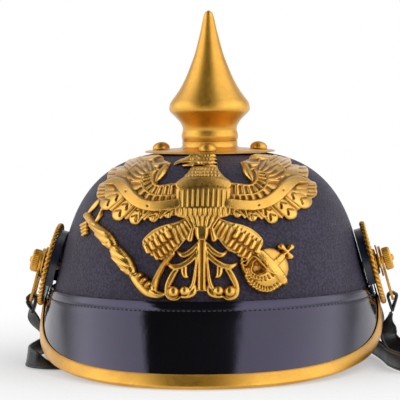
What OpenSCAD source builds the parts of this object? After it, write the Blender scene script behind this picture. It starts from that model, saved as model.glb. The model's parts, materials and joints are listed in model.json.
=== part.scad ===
// Spiked parade helmet: leather shell, spike, eagle front plate, cockades and chin strap.
// Millimetres. The front faces -Y, +X is to the viewer's right, and Z = 0 is the table.
// The origin lies on the table, straight under the spike's axis.

/* [Shell] */
// Half the width of the shell at the visor seam
shell_half_w = 106.3; // [100:0.1:112]
// Length of the shell's plan over its width
plan_ratio = 1.13; // [1.06:0.01:1.18]
// Height of the visor seam above the table
seam_z = 50; // [47:0.5:54]
// How far the shell goes down inside the visors, below the seam
rim_drop = 8; // [6:0.5:10]
// Height of the top of the crown
crown_z = 141.2; // [136:0.1:148]
// Height where the flanks start to round into the crown
shoulder_z = 76.4; // [70:0.1:84]
// Sideways run of the flanks for each unit of height
flank_slope = 0.272; // [0.2:0.002:0.3]
// Wall of the shell
shell_t = 2.4; // [1.8:0.1:3]
// Radius of the air hole in the crown
air_hole_r = 7; // [5:0.5:9]

/* [Visors] */
// Thickness of the visor leather
visor_t = 2.2; // [1.6:0.1:2.6]
// Half the width of the front visor's edge
front_edge_w = 112; // [109:0.5:115]
// Reach of the front visor's edge ahead of the spike
front_reach = 157; // [150:0.5:162]
// Half the width of the rear visor's edge
rear_edge_w = 118; // [114:0.5:121]
// Reach of the rear visor's edge behind the spike
rear_reach = 153; // [146:0.5:158]
// Outward crown of both visors between seam and edge
visor_crown = 1.6; // [0:0.1:3]
// Width of the brass edging of the front visor
trim_w = 7.6; // [6:0.1:9]
// Wall of the brass edging
trim_t = 0.9; // [0.6:0.05:1.2]

/* [Spike] */
// Radius of the round base plate
base_r = 44; // [41:0.5:47]
// How far the base plate's rim hangs below the crown
plate_drop = 0.8; // [0.4:0.1:1.2]
// Sheet thickness of the base plate and its collar
base_t = 1.2; // [0.8:0.1:1.6]
// Outside radius of the collar that holds the spike
collar_r = 18.7; // [16.5:0.1:20]
// Height of the joint between collar and spike over the crown
collar_rise = 6.8; // [6.2:0.1:8]
// Widest radius of the spike
spike_flare_r = 27.3; // [25:0.1:30]
// Height of the spike above its joint
spike_h = 88; // [78:0.5:98]
// Length of the spigot inside the collar
spigot_len = 6.2; // [5:0.1:6.4]
// Distance of the four base studs from the axis
base_stud_ring = 33; // [28:0.5:36]
// Radius of a base stud's head
base_stud_r = 5.9; // [4.5:0.1:7]

/* [Side fittings] */
// Height of the cockade posts on the flanks
cockade_z = 63; // [60:0.5:68]
// Outside radius of a cockade with its corded rim
cockade_r = 29; // [26:0.5:31]
// Thickness of the corded rim
cord_r = 2; // [1.5:0.1:2.3]
// Radius of the threaded posts
post_r = 2.5; // [2:0.1:3]
// Distance of the cockade's back from the shell
cockade_lift = 4.9; // [4.8:0.1:5.4]
// Radius of the bulged ring on the cockade
rosette_r = 9; // [7.5:0.1:11]
// Height of the bulged ring
rosette_h = 3.2; // [3:0.1:4]
// Radius of the flange under the bail
flange_r = 11; // [9:0.1:12]
// Thickness of the flange
flange_t = 1.2; // [1:0.1:1.6]
// Thickness of the bail's plate
bail_t = 1.8; // [1.4:0.1:2.2]
// Distance from the post to the outer side of the bail's bar
bail_reach = 27.5; // [25:0.5:30]
// Radius of the bail's round top
bail_ear_r = 9.5; // [8:0.1:11]
// Radius of the knurled knob
knob_r = 7.75; // [6.5:0.05:9]
// Length of the knob
knob_len = 5.6; // [5:0.1:7]

/* [Chin strap] */
// Width of the strap
strap_w = 12; // [10:0.5:13]
// Thickness of the strap leather
strap_t = 1.8; // [1.4:0.1:2.2]

/* [Front plate] */
// Height of the plate's ground above the shell
plate_ground = 1.6; // [1.2:0.1:2]
// Extra height of the feathers over the ground
feather_rise = 1.3; // [0.8:0.1:1.8]
// Height of the ribbon band over the shell
ribbon_rise = 3.1; // [2.6:0.1:3.8]
// Height of the breast over the shell
breast_rise = 5.2; // [4:0.1:6.5]
// Number of feathers side by side in each row of a wing
wing_feathers = 11; // [9:1:13]
// Radius of the orb
orb_r = 12.6; // [11:0.1:14]

/* [Rear fittings] */
// Width of the brass spine
spine_w = 13; // [11:0.5:15]
// Thickness of the brass spine
spine_t = 1; // [0.8:0.1:1.3]
// Height of the air slot's middle in the spine
vent_z = 108; // [102:0.5:112]
// Length of the air slot
vent_len = 12; // [9:0.5:13]
// Travel of the air shutter
shutter_travel = 8; // [6:0.5:8.5]

/* [Lining] */
// Height of the sweatband's upper edge
sweatband_top = 74; // [68:0.5:78]
// Thickness of the sweatband leather
sweatband_t = 1.5; // [1.2:0.1:2]
// Number of leather tongues in the lining
tongues = 10; // [8:1:12]
// Radius of the drawcord ring that gathers the tongues
drawcord_ring = 30; // [26:0.5:34]

/* [Hidden] */
$fn = 48;

// Clearances: parts that lie on each other, parts that turn or slide in each other, screwed parts
lay_gap = 0.3;
run_gap = 0.06;
thread_gap = 0.05;
small = 0.01;

rim_z = seam_z - rim_drop;
crown_power = 2.9;
corner_power = 3.45;
flank_angle = atan(flank_slope);

// Radius of the shell across X at a height, and the same surface set in by a wall
function shell_r(z, inset = 0) =
    let (w = max(0, z - shoulder_z) / (crown_z - inset - shoulder_z))
    (shell_half_w - inset / cos(flank_angle) - flank_slope * (z - seam_z))
    * pow(max(0, 1 - pow(w, crown_power)), 1 / corner_power);

function unit(v) = v / norm(v);
function lerp(a, b, t) = a + (b - a) * t;

// A smooth curve through hand-set points, cut into even steps between them
function spline_at(p, t) =
    let (n = len(p) - 1, i = min(n - 1, floor(t)), f = t - i,
         a = p[max(0, i - 1)], b = p[i], c = p[i + 1], d = p[min(n, i + 2)])
    0.5 * (2 * b + (c - a) * f + (2 * a - 5 * b + 4 * c - d) * f * f
           + (3 * b - a - 3 * c + d) * f * f * f);
function spline(p, steps) = [for (i = [0:steps]) spline_at(p, i * (len(p) - 1) / steps)];

// Closed skin over rings of points, with a flat cap at each end; each ring has the same length.
// A ring that runs up one side and back down the other is capped in quads from side to side
module skin(rings, convex = 6, strip = false) {
    n = len(rings[0]);
    m = len(rings);
    function at(i, j) = i * n + j % n;
    sides = [for (i = [0:m - 2]) for (j = [0:n - 1]) each [
        [at(i, j), at(i, j + 1), at(i + 1, j + 1)], [at(i, j), at(i + 1, j + 1), at(i + 1, j)]]];
    caps = strip
        ? [for (j = [0:n / 2 - 2]) each [
            [at(0, n - 1 - j), at(0, n - 2 - j), at(0, j + 1), at(0, j)],
            [at(m - 1, j), at(m - 1, j + 1), at(m - 1, n - 2 - j), at(m - 1, n - 1 - j)]]]
        : [[for (j = [n - 1:-1:0]) j], [for (j = [0:n - 1]) (m - 1) * n + j]];
    polyhedron([for (r = rings) each r], concat(caps, sides), convexity = convex);
}

// The same skin, closed on itself instead of capped
module loop_skin(rings, convex = 6) {
    n = len(rings[0]);
    m = len(rings);
    function at(i, j) = (i % m) * n + j % n;
    polyhedron([for (r = rings) each r], [for (i = [0:m - 1]) for (j = [0:n - 1]) each [
        [at(i, j), at(i, j + 1), at(i + 1, j + 1)], [at(i, j), at(i + 1, j + 1), at(i + 1, j)]]],
        convexity = convex);
}

// SHELL
// Height and radius pairs up the flank and over the crown
crown_steps = [6, 12, 19, 26, 33, 40, 47, 54, 61, 68, 75, 81, 86];
function profile_z(inset) = concat([rim_z, seam_z, (seam_z + shoulder_z) / 2, shoulder_z],
    [for (a = crown_steps) shoulder_z + (crown_z - inset - shoulder_z) * pow(sin(a), 2 / crown_power)]);
function shell_profile(inset) = concat([for (z = profile_z(inset)) [shell_r(z, inset), z]],
                                       [[0, crown_z - inset]]);

module plan_scale() scale([1, plan_ratio, 1]) children();

// Local frame on the right flank at the post, Z along the post and away from the shell
module on_flank() translate([shell_r(cockade_z), 0, cockade_z]) rotate([0, 90 - flank_angle, 0]) children();
module side(left) mirror([left ? 1 : 0, 0, 0]) on_flank() children();

// Local frame on the back at a height, X across, Y up the shell and Z away from it
function back_slope(z) = atan(plan_ratio * (shell_r(z - 0.5) - shell_r(z + 0.5)));
module on_back(z) translate([0, plan_ratio * shell_r(z), z]) rotate([90 - back_slope(z), 0, 180])
    children();

// Front plate fixings and spine fixings, as heights and sideways places
lug_x = 40;
lug_z = 110;
lug_r = 1.5;
// Distance of a lug's nut behind the shell's face, where its upper edge meets the sloping wall
lug_nut_at = 7.9;
nut_r = 3.6;
nut_h = 2.2;
spine_stud_z = [127, 86];
stud_shank_r = 1.5;

module base_stud_places() for (a = [0:90:270]) rotate(a) translate([base_stud_ring, 0, 0]) children();

module shell() color([0.22, 0.21, 0.25]) difference() {
    plan_scale() rotate_extrude($fn = 200) polygon(concat(shell_profile(0),
        [for (i = [len(shell_profile(0)) - 1:-1:0]) shell_profile(shell_t)[i]]));
    translate([0, 0, crown_z - 10]) cylinder(r = air_hole_r, h = 20);
    base_stud_places() translate([0, 0, crown_z - 20]) cylinder(r = stud_shank_r + lay_gap, h = 30);
    for (left = [true, false]) side(left) translate([0, 0, -15]) cylinder(r = post_r + lay_gap, h = 30);
    for (x = [-lug_x, lug_x]) translate([x, 0, lug_z]) rotate([90, 0, 0])
        cylinder(r = lug_r + lay_gap, h = 140);
    for (z = spine_stud_z) on_back(z) translate([0, 0, -15]) cylinder(r = stud_shank_r + lay_gap, h = 30);
    on_back(vent_z) translate([-vent_len / 6, -vent_len / 2, -15]) cube([vent_len / 3, vent_len, 30]);
}

// VISORS
// The inner face of a visor leather: a is the angle from its middle, s runs from 0 at the seam over
// the fold at 1 to the edge at 2
visor_end_a = 88.6;
// How far the edge draws in to the shell at the ends, under the cockades
end_tuck = 0.85;
front_rise = [21, 3.2, 18, 16, 0.3];
rear_rise = [25, 2.6, 14, 20, -1.5];
fold_z = rim_z - 0.5;
function edge_z(a, rise) = let (w = abs(a) / visor_end_a)
    rise[4] + rise[0] * pow(w, rise[1]) + rise[2] * pow(w, rise[3]);
function on_plan(rx, ry, a, z, dir) = [rx * sin(a), dir * ry * cos(a), z];
// The band lies a little further off, because its skin runs straight between its rings
band_gap = 2 * lay_gap;
function band_point(a, z, dir) = on_plan(shell_r(z) + band_gap, plan_ratio * shell_r(z) + band_gap, a, z, dir);
function visor_point(a, s, edge_w, reach, rise, dir) =
    let (fold = band_point(a, fold_z, dir), z = edge_z(a, rise),
         edge = lerp(on_plan(edge_w, reach, a, z, dir), band_point(a, z, dir),
                     end_tuck * pow(abs(a) / visor_end_a, 12)))
    s <= 1 ? band_point(a, lerp(seam_z, fold_z, s), dir)
           : lerp(fold, edge, s - 1) + [0, 0, visor_crown * sin(180 * (s - 1))];
function visor_normal(a, s, edge_w, reach, rise, dir) =
    let (p = [for (d = [[-1, 0], [1, 0], [0, -0.15], [0, 0.15]])
              visor_point(a + d[0], min(2, max(0, s + d[1])), edge_w, reach, rise, dir)])
    unit(cross(p[1] - p[0], p[3] - p[2])) * dir;
function visor_at(a, s, h, v) = visor_point(a, s, v[0], v[1], v[2], v[3])
    + h * visor_normal(a, s, v[0], v[1], v[2], v[3]);

front = [front_edge_w, front_reach, front_rise, -1];
rear = [rear_edge_w, rear_reach, rear_rise, 1];
visor_rows = [0, 0.5, 1, 1.25, 1.5, 1.75, 1.97];
visor_steps = 30;

// The step closer to the ends, where the edge climbs fastest
function visor_angle(i) = let (t = 2 * i / visor_steps - 1) visor_end_a * sign(t) * (1 - pow(1 - abs(t), 1.35));

module visor_leather(v) {
    ring = function (a) [for (p = concat([for (s = visor_rows) visor_at(a, s, visor_t, v)],
        [for (i = [len(visor_rows) - 1:-1:0]) visor_at(a, visor_rows[i], 0, v)]))
        [p[0], p[1], max(0, p[2])]];
    skin(v[3] > 0
        ? [for (i = [0:visor_steps]) ring(visor_angle(i))]
        : [for (i = [visor_steps:-1:0]) ring(visor_angle(i))], strip = true);
}

module front_visor() color([0.07, 0.06, 0.08]) visor_leather(front);
module rear_visor() color([0.08, 0.07, 0.09]) visor_leather(rear);

// Place on the front visor at a distance from its edge, counted square to the edge
function edge_climb(a) = let (p = visor_at(a - 0.5, 2, 0, front), q = visor_at(a + 0.5, 2, 0, front))
    max(0.55, norm([q[0] - p[0], q[1] - p[1]]) / norm(q - p));
function fold_run(a) = norm(visor_at(a, 2, 0, front) - visor_at(a, 1, 0, front));
function trim_place(a, d, h) =
    let (flat = fold_run(a), run = d / edge_climb(a),
         s = run <= flat ? 2 - run / flat : 1 - (run - flat) / rim_drop)
    d >= 0 ? visor_at(a, max(0.05, s), h, front)
           : visor_at(a, 2, h, front) + d * unit(visor_at(a, 1.9, h, front) - visor_at(a, 2, h, front));

// The edging's section at an angle: over the visor's outer face, round its edge and back under it,
// where the inner leg stops short of the fold and the shell
function trim_section(a) =
    let (ease = lay_gap * (1 + pow(abs(a) / visor_end_a, 12)), top = visor_t + ease, low = -ease,
         inner = min(0.8 * trim_w, max(0.4, fold_run(a) * edge_climb(a) - 0.8)))
    [[trim_w, top], [trim_w, top + 0.7 * trim_t], [trim_w / 2, top + 1.2 * trim_t],
     [0, top + trim_t], [-1.1 * trim_t, visor_t * 0.8], [-1.1 * trim_t, visor_t * 0.2],
     [0, low - trim_t], [inner, low - trim_t], [inner, low], [0, low], [0, top]];
module front_visor_trim() color([0.86, 0.62, 0.22]) skin([for (i = [visor_steps:-1:0])
    let (a = visor_angle(i)) [for (c = trim_section(a)) let (p = trim_place(a, c[0], c[1]))
        [p[0], p[1], max(0, p[2])]]]);

// SPIKE AND BASE
collar_in = collar_r - base_t;
base_rim_z = crown_z - plate_drop;
joint_z = crown_z + collar_rise;
cone_top_z = joint_z - 4.5;
// The foot of the collar stands on the crown, with a seat a little wider than the collar
seat_r = collar_r + 3;
function base_under(r) = lerp(base_rim_z, cone_top_z - base_t, (base_r - 1 - r) / (base_r - 1 - collar_in));
module base_plate() color([0.88, 0.64, 0.24]) difference() {
    rotate_extrude($fn = 96) polygon([
        [base_r, base_rim_z], [base_r, base_rim_z + base_t * 0.8], [base_r - 1, base_rim_z + base_t],
        [collar_r + 1.5, cone_top_z], [collar_r, cone_top_z + 1], [collar_r, joint_z],
        [collar_in, joint_z], [collar_in, crown_z + lay_gap], [seat_r, crown_z + lay_gap],
        [seat_r, base_under(seat_r)], [base_r - 1, base_rim_z]]);
    base_stud_places() translate([0, 0, crown_z - 20]) cylinder(r = stud_shank_r + lay_gap, h = 40);
}

// Height of the base plate's upper face at a distance from the axis
function base_top(r) = lerp(base_rim_z + base_t, cone_top_z, (base_r - 1 - r) / (base_r - collar_r - 2.5));
stud_seat_z = base_top(base_stud_ring - base_stud_r * 0.5) + lay_gap;
stud_in_z = crown_z - shell_t - 8;
module base_studs() color([0.9, 0.66, 0.26]) base_stud_places() {
    translate([0, 0, stud_seat_z]) rotate_extrude() polygon(concat([[0, 0]],
        [for (a = [0:10:90]) [base_stud_r * cos(a), 0.6 + base_stud_r * 0.72 * sin(a)]]));
    translate([0, 0, stud_in_z]) cylinder(r = stud_shank_r, h = stud_seat_z - stud_in_z + 1);
}

// Inside of the crown over a stud, where its nut bears
function crown_inside(r) = [for (z = [crown_z - shell_t - 0.05:-0.1:shoulder_z])
                            if (shell_r(z, shell_t) >= r) z][0];
module base_stud_nuts() color([0.75, 0.6, 0.35]) base_stud_places()
    translate([0, 0, crown_inside(base_stud_ring + nut_r + lay_gap) - nut_h - lay_gap]) difference() {
        cylinder(r = nut_r, h = nut_h, $fn = 6);
        translate([0, 0, -1]) cylinder(r = stud_shank_r + thread_gap, h = 5);
    }

// The spike's side as radius shares of the flare and heights over the joint
spike_side = [[0.68, 0.3], [0.703, 3], [0.69, 5.2], [0.67, 7.7], [0.69, 10.5], [0.77, 14],
              [0.905, 17.8], [0.975, 19.8], [1, 22], [0.967, 26], [0.857, 30.2], [0.752, 34.3],
              [0.665, 38.4], [0.588, 42.5], [0.525, 46.5], [0.465, 50.6], [0.355, 58.7],
              [0.273, 66.8], [0.198, 74.9], [0.135, 83], [0.09, 86.6]];
spike_h_drawn = 88;
tip_r = 2.2;
socket_h = 9;
spigot_r = collar_in - run_gap;
module spike() color([0.9, 0.66, 0.27]) translate([0, 0, joint_z]) difference() {
    rotate_extrude($fn = 96) polygon(concat([[0, 0.3]],
        [for (p = spline(spike_side, 46)) [p[0] * spike_flare_r, p[1] * spike_h / spike_h_drawn]],
        [[tip_r * 0.6, spike_h - 0.35], [0, spike_h]]));
    translate([0, 0, -1]) cylinder(r = spigot_r - 2.5 + thread_gap, h = socket_h + 1);
}
module spike_spigot() color([0.7, 0.5, 0.2]) translate([0, 0, joint_z]) difference() {
    union() {
        translate([0, 0, -spigot_len]) cylinder(r = spigot_r, h = spigot_len + 0.25);
        cylinder(r = spigot_r - 2.5, h = socket_h - lay_gap);
    }
    translate([0, 0, -spigot_len - 1]) cylinder(r = spigot_r - 4.5, h = socket_h + spigot_len + 2);
}

// COCKADES AND SIDE FITTINGS
// Stack heights along the post, each from the one below
disc_t = 2.2;
rosette_at = cockade_lift + disc_t;
neck_h = 0.6;
flange_at = rosette_at + rosette_h + neck_h;
bail_at = flange_at + flange_t + lay_gap;
knob_at = bail_at + bail_t + lay_gap;
post_out = knob_at + knob_len * 0.8;
post_in = shell_t + 4.2;

disc_r = cockade_r - 2 * cord_r - lay_gap / 2;
// The wall behind the disc's rim reaches back to the shell and is cut away over the visors' seam
wall_low = (cockade_z - seam_z) / cos(flank_angle) - 1;
module cockade_wall() difference() {
    translate([0, 0, lay_gap]) cylinder(r = disc_r - 0.1, h = cockade_lift + 0.8 - lay_gap, $fn = 72);
    cylinder(r = disc_r - 1.4, h = 30, $fn = 72);
    translate([wall_low, -40, -1]) cube([80, 80, 30]);
}
module cockade() color([0.08, 0.09, 0.16]) difference() {
    union() {
        translate([0, 0, cockade_lift]) rotate_extrude($fn = 72) polygon([
            [0, 0.4], [disc_r - 1, 0], [disc_r, 0], [disc_r, 1.2], [cockade_r * 0.62, 1.2],
            [cockade_r * 0.55, 1.9], [cockade_r * 0.36, 1.9], [cockade_r * 0.31, disc_t], [0, disc_t]]);
        cockade_wall();
    }
    cylinder(r = post_r + thread_gap, h = 30);
}
module cockade_left() side(true) cockade();
module cockade_right() side(false) cockade();

// A two-strand cord closed into a ring: the section's lobes turn as it goes round
cord_turns = 26;
module cockade_cord() color([0.86, 0.64, 0.22]) translate([0, 0, cockade_lift + cord_r])
    loop_skin([for (i = [0:64]) [for (j = [0:4])
        let (a = i * 360 / 65, b = j * 72, r = cord_r * (0.9 + 0.1 * cos(2 * b + cord_turns * a)))
        [(cockade_r - cord_r + r * cos(b)) * cos(a), (cockade_r - cord_r + r * cos(b)) * sin(a),
         r * sin(b)]]]);
module cockade_cord_left() side(true) cockade_cord();
module cockade_cord_right() side(false) cockade_cord();

module rosette() color([0.87, 0.62, 0.22]) difference() {
    translate([0, 0, rosette_at]) rotate_extrude() polygon(concat([[0, 0]],
        [for (a = [-90:15:90]) [rosette_r - rosette_h / 2 + rosette_h / 2 * cos(a),
                                rosette_h / 2 + rosette_h / 2 * sin(a)]], [[0, rosette_h]]));
    cylinder(r = post_r + thread_gap, h = 30);
}
module rosette_left() side(true) rosette();
module rosette_right() side(false) rosette();

module flange() color([0.8, 0.56, 0.2]) difference() {
    translate([0, 0, flange_at - neck_h]) union() {
        cylinder(r = rosette_r * 0.55, h = neck_h);
        translate([0, 0, neck_h]) cylinder(r = flange_r, h = flange_t);
    }
    cylinder(r = post_r + thread_gap, h = 40);
}
module flange_left() side(true) flange();
module flange_right() side(false) flange();

module post() color([0.72, 0.55, 0.28]) translate([0, 0, -post_in]) cylinder(r = post_r, h = post_in + post_out);
module post_left() side(true) post();
module post_right() side(false) post();
module post_nuts() color([0.7, 0.55, 0.3]) for (left = [true, false]) side(left)
    translate([0, 0, -shell_t - 3.1]) difference() {
        cylinder(r = 5.2, h = 2.8, $fn = 6);
        translate([0, 0, -1]) cylinder(r = post_r + thread_gap, h = 5);
    }

module knob() color([0.86, 0.62, 0.22]) difference() {
    translate([0, 0, knob_at]) rotate_extrude() polygon(concat(
        [[0, 0], [knob_r * 0.9, 0], [knob_r, 0.7], [knob_r, knob_len - 1.2], [knob_r * 0.88, knob_len],
         [3, knob_len]], [for (a = [0:15:90]) [2.4 * cos(a), knob_len + 1.6 * sin(a)]]));
    translate([0, 0, knob_at - 1]) cylinder(r = post_r + thread_gap, h = post_out - knob_at + 1 + lay_gap);
}
module knob_left() side(true) knob();
module knob_right() side(false) knob();

// The bail hangs from the post: local X runs down the flank
bail_bar = 3;
bail_leg = 3.2;
bail_window = strap_w + 1.4;
module bail() color([0.8, 0.52, 0.2]) translate([0, 0, bail_at]) difference() {
    linear_extrude(bail_t) difference() {
        union() {
            circle(r = bail_ear_r);
            translate([0, -bail_ear_r * 0.98]) square([bail_ear_r * 0.8, bail_ear_r * 1.96]);
            translate([bail_ear_r * 0.6, -bail_window / 2 - bail_leg])
                square([bail_reach - bail_ear_r * 0.6 - bail_leg, bail_window + 2 * bail_leg]);
            for (y = [-1, 1]) translate([bail_reach - bail_leg, y * bail_window / 2]) circle(r = bail_leg);
            translate([bail_reach - bail_leg, -bail_window / 2]) square([bail_leg, bail_window]);
        }
        translate([bail_ear_r + 1.5, -bail_window / 2])
            square([bail_reach - bail_bar - bail_ear_r - 1.5, bail_window]);
        circle(r = post_r + run_gap);
    }
}
module bail_left() side(true) bail();
module bail_right() side(false) bail();

// CHIN STRAP
// Route points of the leather: place of the middle line and the strap's turn, from 0 with its
// width level to 90 standing on its edge
strap_z = strap_t / 2;
edge_up = strap_w / 2;
tuck = bail_t / 2 + lay_gap + strap_t / 2;
bar_low = bail_reach - bail_bar / 2;
strap_fold_r = bail_bar / 2 + 1.5 * lay_gap + strap_t / 2;
// Middle of the bail's bar in the part's frame, and the directions down the bail and off the shell
down = [sin(flank_angle), 0, -cos(flank_angle)];
off = [cos(flank_angle), 0, sin(flank_angle)];
bar = [shell_r(cockade_z), 0, cockade_z] + (bail_at + bail_t / 2) * off + bar_low * down;
// The fold round the bar: from the tail inside it, under the bar's upper side, to the outside
fold = [for (a = [-15:35:195]) bar + strap_fold_r * (cos(a) * -off * 1 + sin(a) * -down)];
function with_turn(points, turn) = [for (p = points) [p[0], p[1], p[2], turn]];
tail = [bar + down * 9 - off * (strap_fold_r - 0.4)];
function flip(points) = [for (p = points) [-p[0], p[1], p[2], p[3]]];
// Where the two straps run over each other through the keepers: middle, direction, and heights of
// the lower strap, the slide buckle between them and the upper strap
overlap_mid = [1, 41];
overlap_a = 50;
keeper_t = 1;
buckle_t = 1.6;
lower_z = keeper_t + lay_gap + strap_t / 2;
buckle_z = keeper_t + 2 * lay_gap + strap_t;
upper_z = buckle_z + buckle_t + lay_gap + strap_t / 2;
function overlap_at(d, z) = [overlap_mid[0] + d * cos(overlap_a), overlap_mid[1] + d * sin(overlap_a), z, 0];
left_route = concat(flip(with_turn(concat(tail, fold), 0)), [
    [-122.9, 0, 33, 0], [-120.9, 2, 25, 8], [-117, 8, 17, 32], [-113.4, 15, 11.5, 60], [-111.5, 24, 8, 80],
    [-113, 33, 6.6, 90], [-117, 32, 6.2, 90], [-119, 22, 6.2, 90], [-120.5, 4, 6.2, 90],
    [-122, -16, 6.2, 88], [-121.5, -32, 6, 80], [-118, -44, 5, 55], [-111, -51, 2.6, 22],
    [-100, -54, 1.3, 4], [-82, -50, 1, 0], [-60, -36, 1, 0], [-42, -14, 1.4, 0], [-28, 7, 4, 0]],
    [for (d = [-26, -13, 0, 17]) overlap_at(d, upper_z)]);
right_route = concat(with_turn(concat(tail, fold), 0), [
    [120.8, 0, 27, 0], [119.6, -1, 20, 15], [120.6, -2, 13, 45], [126, -5, 8, 75],
    [136, -12, 6.4, 90], [147, -26, 6.2, 90], [153, -45, 6.2, 90], [151, -64, 6.2, 90],
    [143, -78, 6.2, 90], [133, -81, 6.2, 90], [125, -72, 6.2, 90], [119, -50, 6.2, 90],
    [116, -24, 6.2, 90], [112, 4, 6.2, 90], [107, 24, 6.2, 80], [97, 42, 4.6, 45],
    [82, 58, 2, 10], [62, 70, 1, 0], [42, 75, 1, 0], [27, 70, 1.4, 0]],
    [for (d = [26, 13, 0, -17]) overlap_at(d, lower_z)]);

module strap_band(route, steps) {
    pts = spline(route, steps);
    place = [for (p = pts) [p[0], p[1], max(p[2], strap_z * cos(p[3]) + edge_up * sin(p[3]) + small)]];
    skin([for (i = [0:steps]) let (
        run = unit(place[min(steps, i + 1)] - place[max(0, i - 1)]),
        flat = cross([0, 0, 1], run),
        level = i < steps / 4 && place[i][2] > 12 ? [0, 1, 0] : flat,
        side_dir = unit(level - (level * run) * run),
        face = cross(run, side_dir),
        across = side_dir * cos(pts[i][3]) + face * sin(pts[i][3]),
        thick = cross(run, across))
        [for (c = [[-1, -1], [-1, 1], [1, 1], [1, -1]])
            let (p = place[i] + across * c[0] * strap_w / 2 + thick * c[1] * strap_t / 2)
            [p[0], p[1], max(0, p[2])]]]);
}
module strap_left() color([0.05, 0.05, 0.06]) strap_band(left_route, 66);
module strap_right() color([0.05, 0.05, 0.06]) strap_band(right_route, 70);

// The slide buckle lies between the two straps, and a keeper goes round both on each side of it
module on_overlap(d) translate([overlap_mid[0], overlap_mid[1], 0]) rotate(overlap_a) translate([d, 0, 0])
    children();
module strap_buckle() color([0.85, 0.62, 0.25]) on_overlap(0) translate([0, 0, buckle_z])
    linear_extrude(buckle_t) difference() {
        square([15, strap_w + 5], center = true);
        for (x = [-1, 1]) translate([x * 3.4, 0]) square([4, strap_w + 1], center = true);
    }
keeper_l = 7;
keeper_room = upper_z + strap_t / 2 + lay_gap - keeper_t;
module strap_keepers() color([0.06, 0.05, 0.06]) for (d = [-13, 13]) on_overlap(d)
    translate([-keeper_l / 2, 0, 0]) rotate([90, 0, 90]) linear_extrude(keeper_l) difference() {
        translate([-strap_w / 2 - 0.6 - keeper_t, 0])
            square([strap_w + 1.2 + 2 * keeper_t, keeper_room + 2 * keeper_t]);
        translate([-strap_w / 2 - 0.6, keeper_t]) square([strap_w + 1.2, keeper_room]);
    }

// REAR SPINE
// Middle line down the back: heights on the shell, then over the visor's band and down to its edge
spine_z = [138.6, 137.2, 135, 132, 128.5, 124, 118, 111, 103, 94, 85, 76, 67, 59];
function back_point(z, h) = let (b = back_slope(z))
    [0, plan_ratio * shell_r(z) + h * cos(b), z + h * sin(b)];
over_band = band_gap + visor_t + 1.5 * lay_gap;
spine_line = concat([for (z = spine_z) back_point(z, lay_gap)],
    [back_point(seam_z + 1.5, over_band), back_point(seam_z - 3, over_band)],
    [for (s = [1, 1.25, 1.5, 1.75, 1.93]) visor_at(0, s, visor_t + 2 * lay_gap, rear)]);
channel_w = 10.4;
channel_z = lay_gap + spine_t + 0.2;
plate_t = 0.9;
plate_len = vent_len + 2;
channel_h = plate_t + 0.2;
lip_t = 0.6;

module spine_strip() {
    n = len(spine_line) - 1;
    half = spine_w / 2;
    section = [[-half, 0], [half, 0], [half, 0.55 * spine_t], [half / 2, spine_t],
               [-half / 2, spine_t], [-half, 0.55 * spine_t]];
    skin([for (i = [0:n]) let (
        run = unit(spine_line[min(n, i + 1)] - spine_line[max(0, i - 1)]),
        out = [0, -run[2], run[1]])
        [for (c = section) spine_line[i] + [c[0], 0, 0] + c[1] * out]]);
}
module rear_spine() color([0.85, 0.62, 0.23]) difference() {
    union() {
        spine_strip();
        on_back(vent_z) translate([-spine_w / 2 - 1, -plate_len / 2 - 2, lay_gap])
            cube([spine_w + 2, plate_len + shutter_travel + 4, channel_z + channel_h + lip_t - lay_gap]);
    }
    on_back(vent_z) {
        translate([-channel_w / 2, -plate_len / 2 - 0.1, channel_z])
            cube([channel_w, plate_len + shutter_travel + 0.2, channel_h]);
        translate([-channel_w / 2 + 1.2, -plate_len / 2 - 0.1, channel_z])
            cube([channel_w - 2.4, plate_len + shutter_travel + 0.2, 5]);
        translate([-vent_len / 6, -vent_len / 2, -5]) cube([vent_len / 3, vent_len, 10]);
    }
    for (z = spine_stud_z) on_back(z) translate([0, 0, -5]) cylinder(r = stud_shank_r + lay_gap, h = 12);
}
module vent_shutter() color([0.88, 0.66, 0.28]) on_back(vent_z) {
    translate([-channel_w / 2 + 0.2, -plate_len / 2, channel_z + 0.1]) cube([channel_w - 0.4, plate_len, plate_t]);
    translate([0, 0, channel_z + 0.1]) cylinder(r1 = 2, r2 = 2.6, h = plate_t + lip_t + 2.2);
}
spine_head_at = 2 * lay_gap + spine_t;
inner_face = shell_t * plan_ratio + lay_gap;
module spine_studs() color([0.9, 0.66, 0.26]) for (z = spine_stud_z) on_back(z) {
    translate([0, 0, spine_head_at]) rotate_extrude() polygon(concat([[0, 0]],
        [for (a = [0:15:90]) [3.4 * cos(a), 0.4 + 1.9 * sin(a)]]));
    translate([0, 0, -inner_face - 3]) cylinder(r = stud_shank_r, h = inner_face + 3 + spine_head_at + 1);
}
module spine_nuts() color([0.75, 0.6, 0.35]) for (z = spine_stud_z) on_back(z)
    translate([0, 0, -inner_face - nut_h - lay_gap]) difference() {
        cylinder(r = nut_r, h = nut_h, $fn = 6);
        translate([0, 0, -1]) cylinder(r = stud_shank_r + thread_gap, h = 5);
    }

// FRONT PLATE
// The spread eagle is drawn as it is seen from the front: x across, z up, h off the shell
plate_back = 0.9;
plate_edge = 1.5;
function front_y(x, z) = -plan_ratio * sqrt(max(1, pow(shell_r(z), 2) - x * x));
function front_normal(x, z) = unit([x, front_y(x, z) / pow(plan_ratio, 2),
    shell_r(z) * (shell_r(z - 0.2) - shell_r(z + 0.2)) / 0.4]);
function on_front(x, z, h) = [x, front_y(x, z), z] + h * front_normal(x, z);

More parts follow.
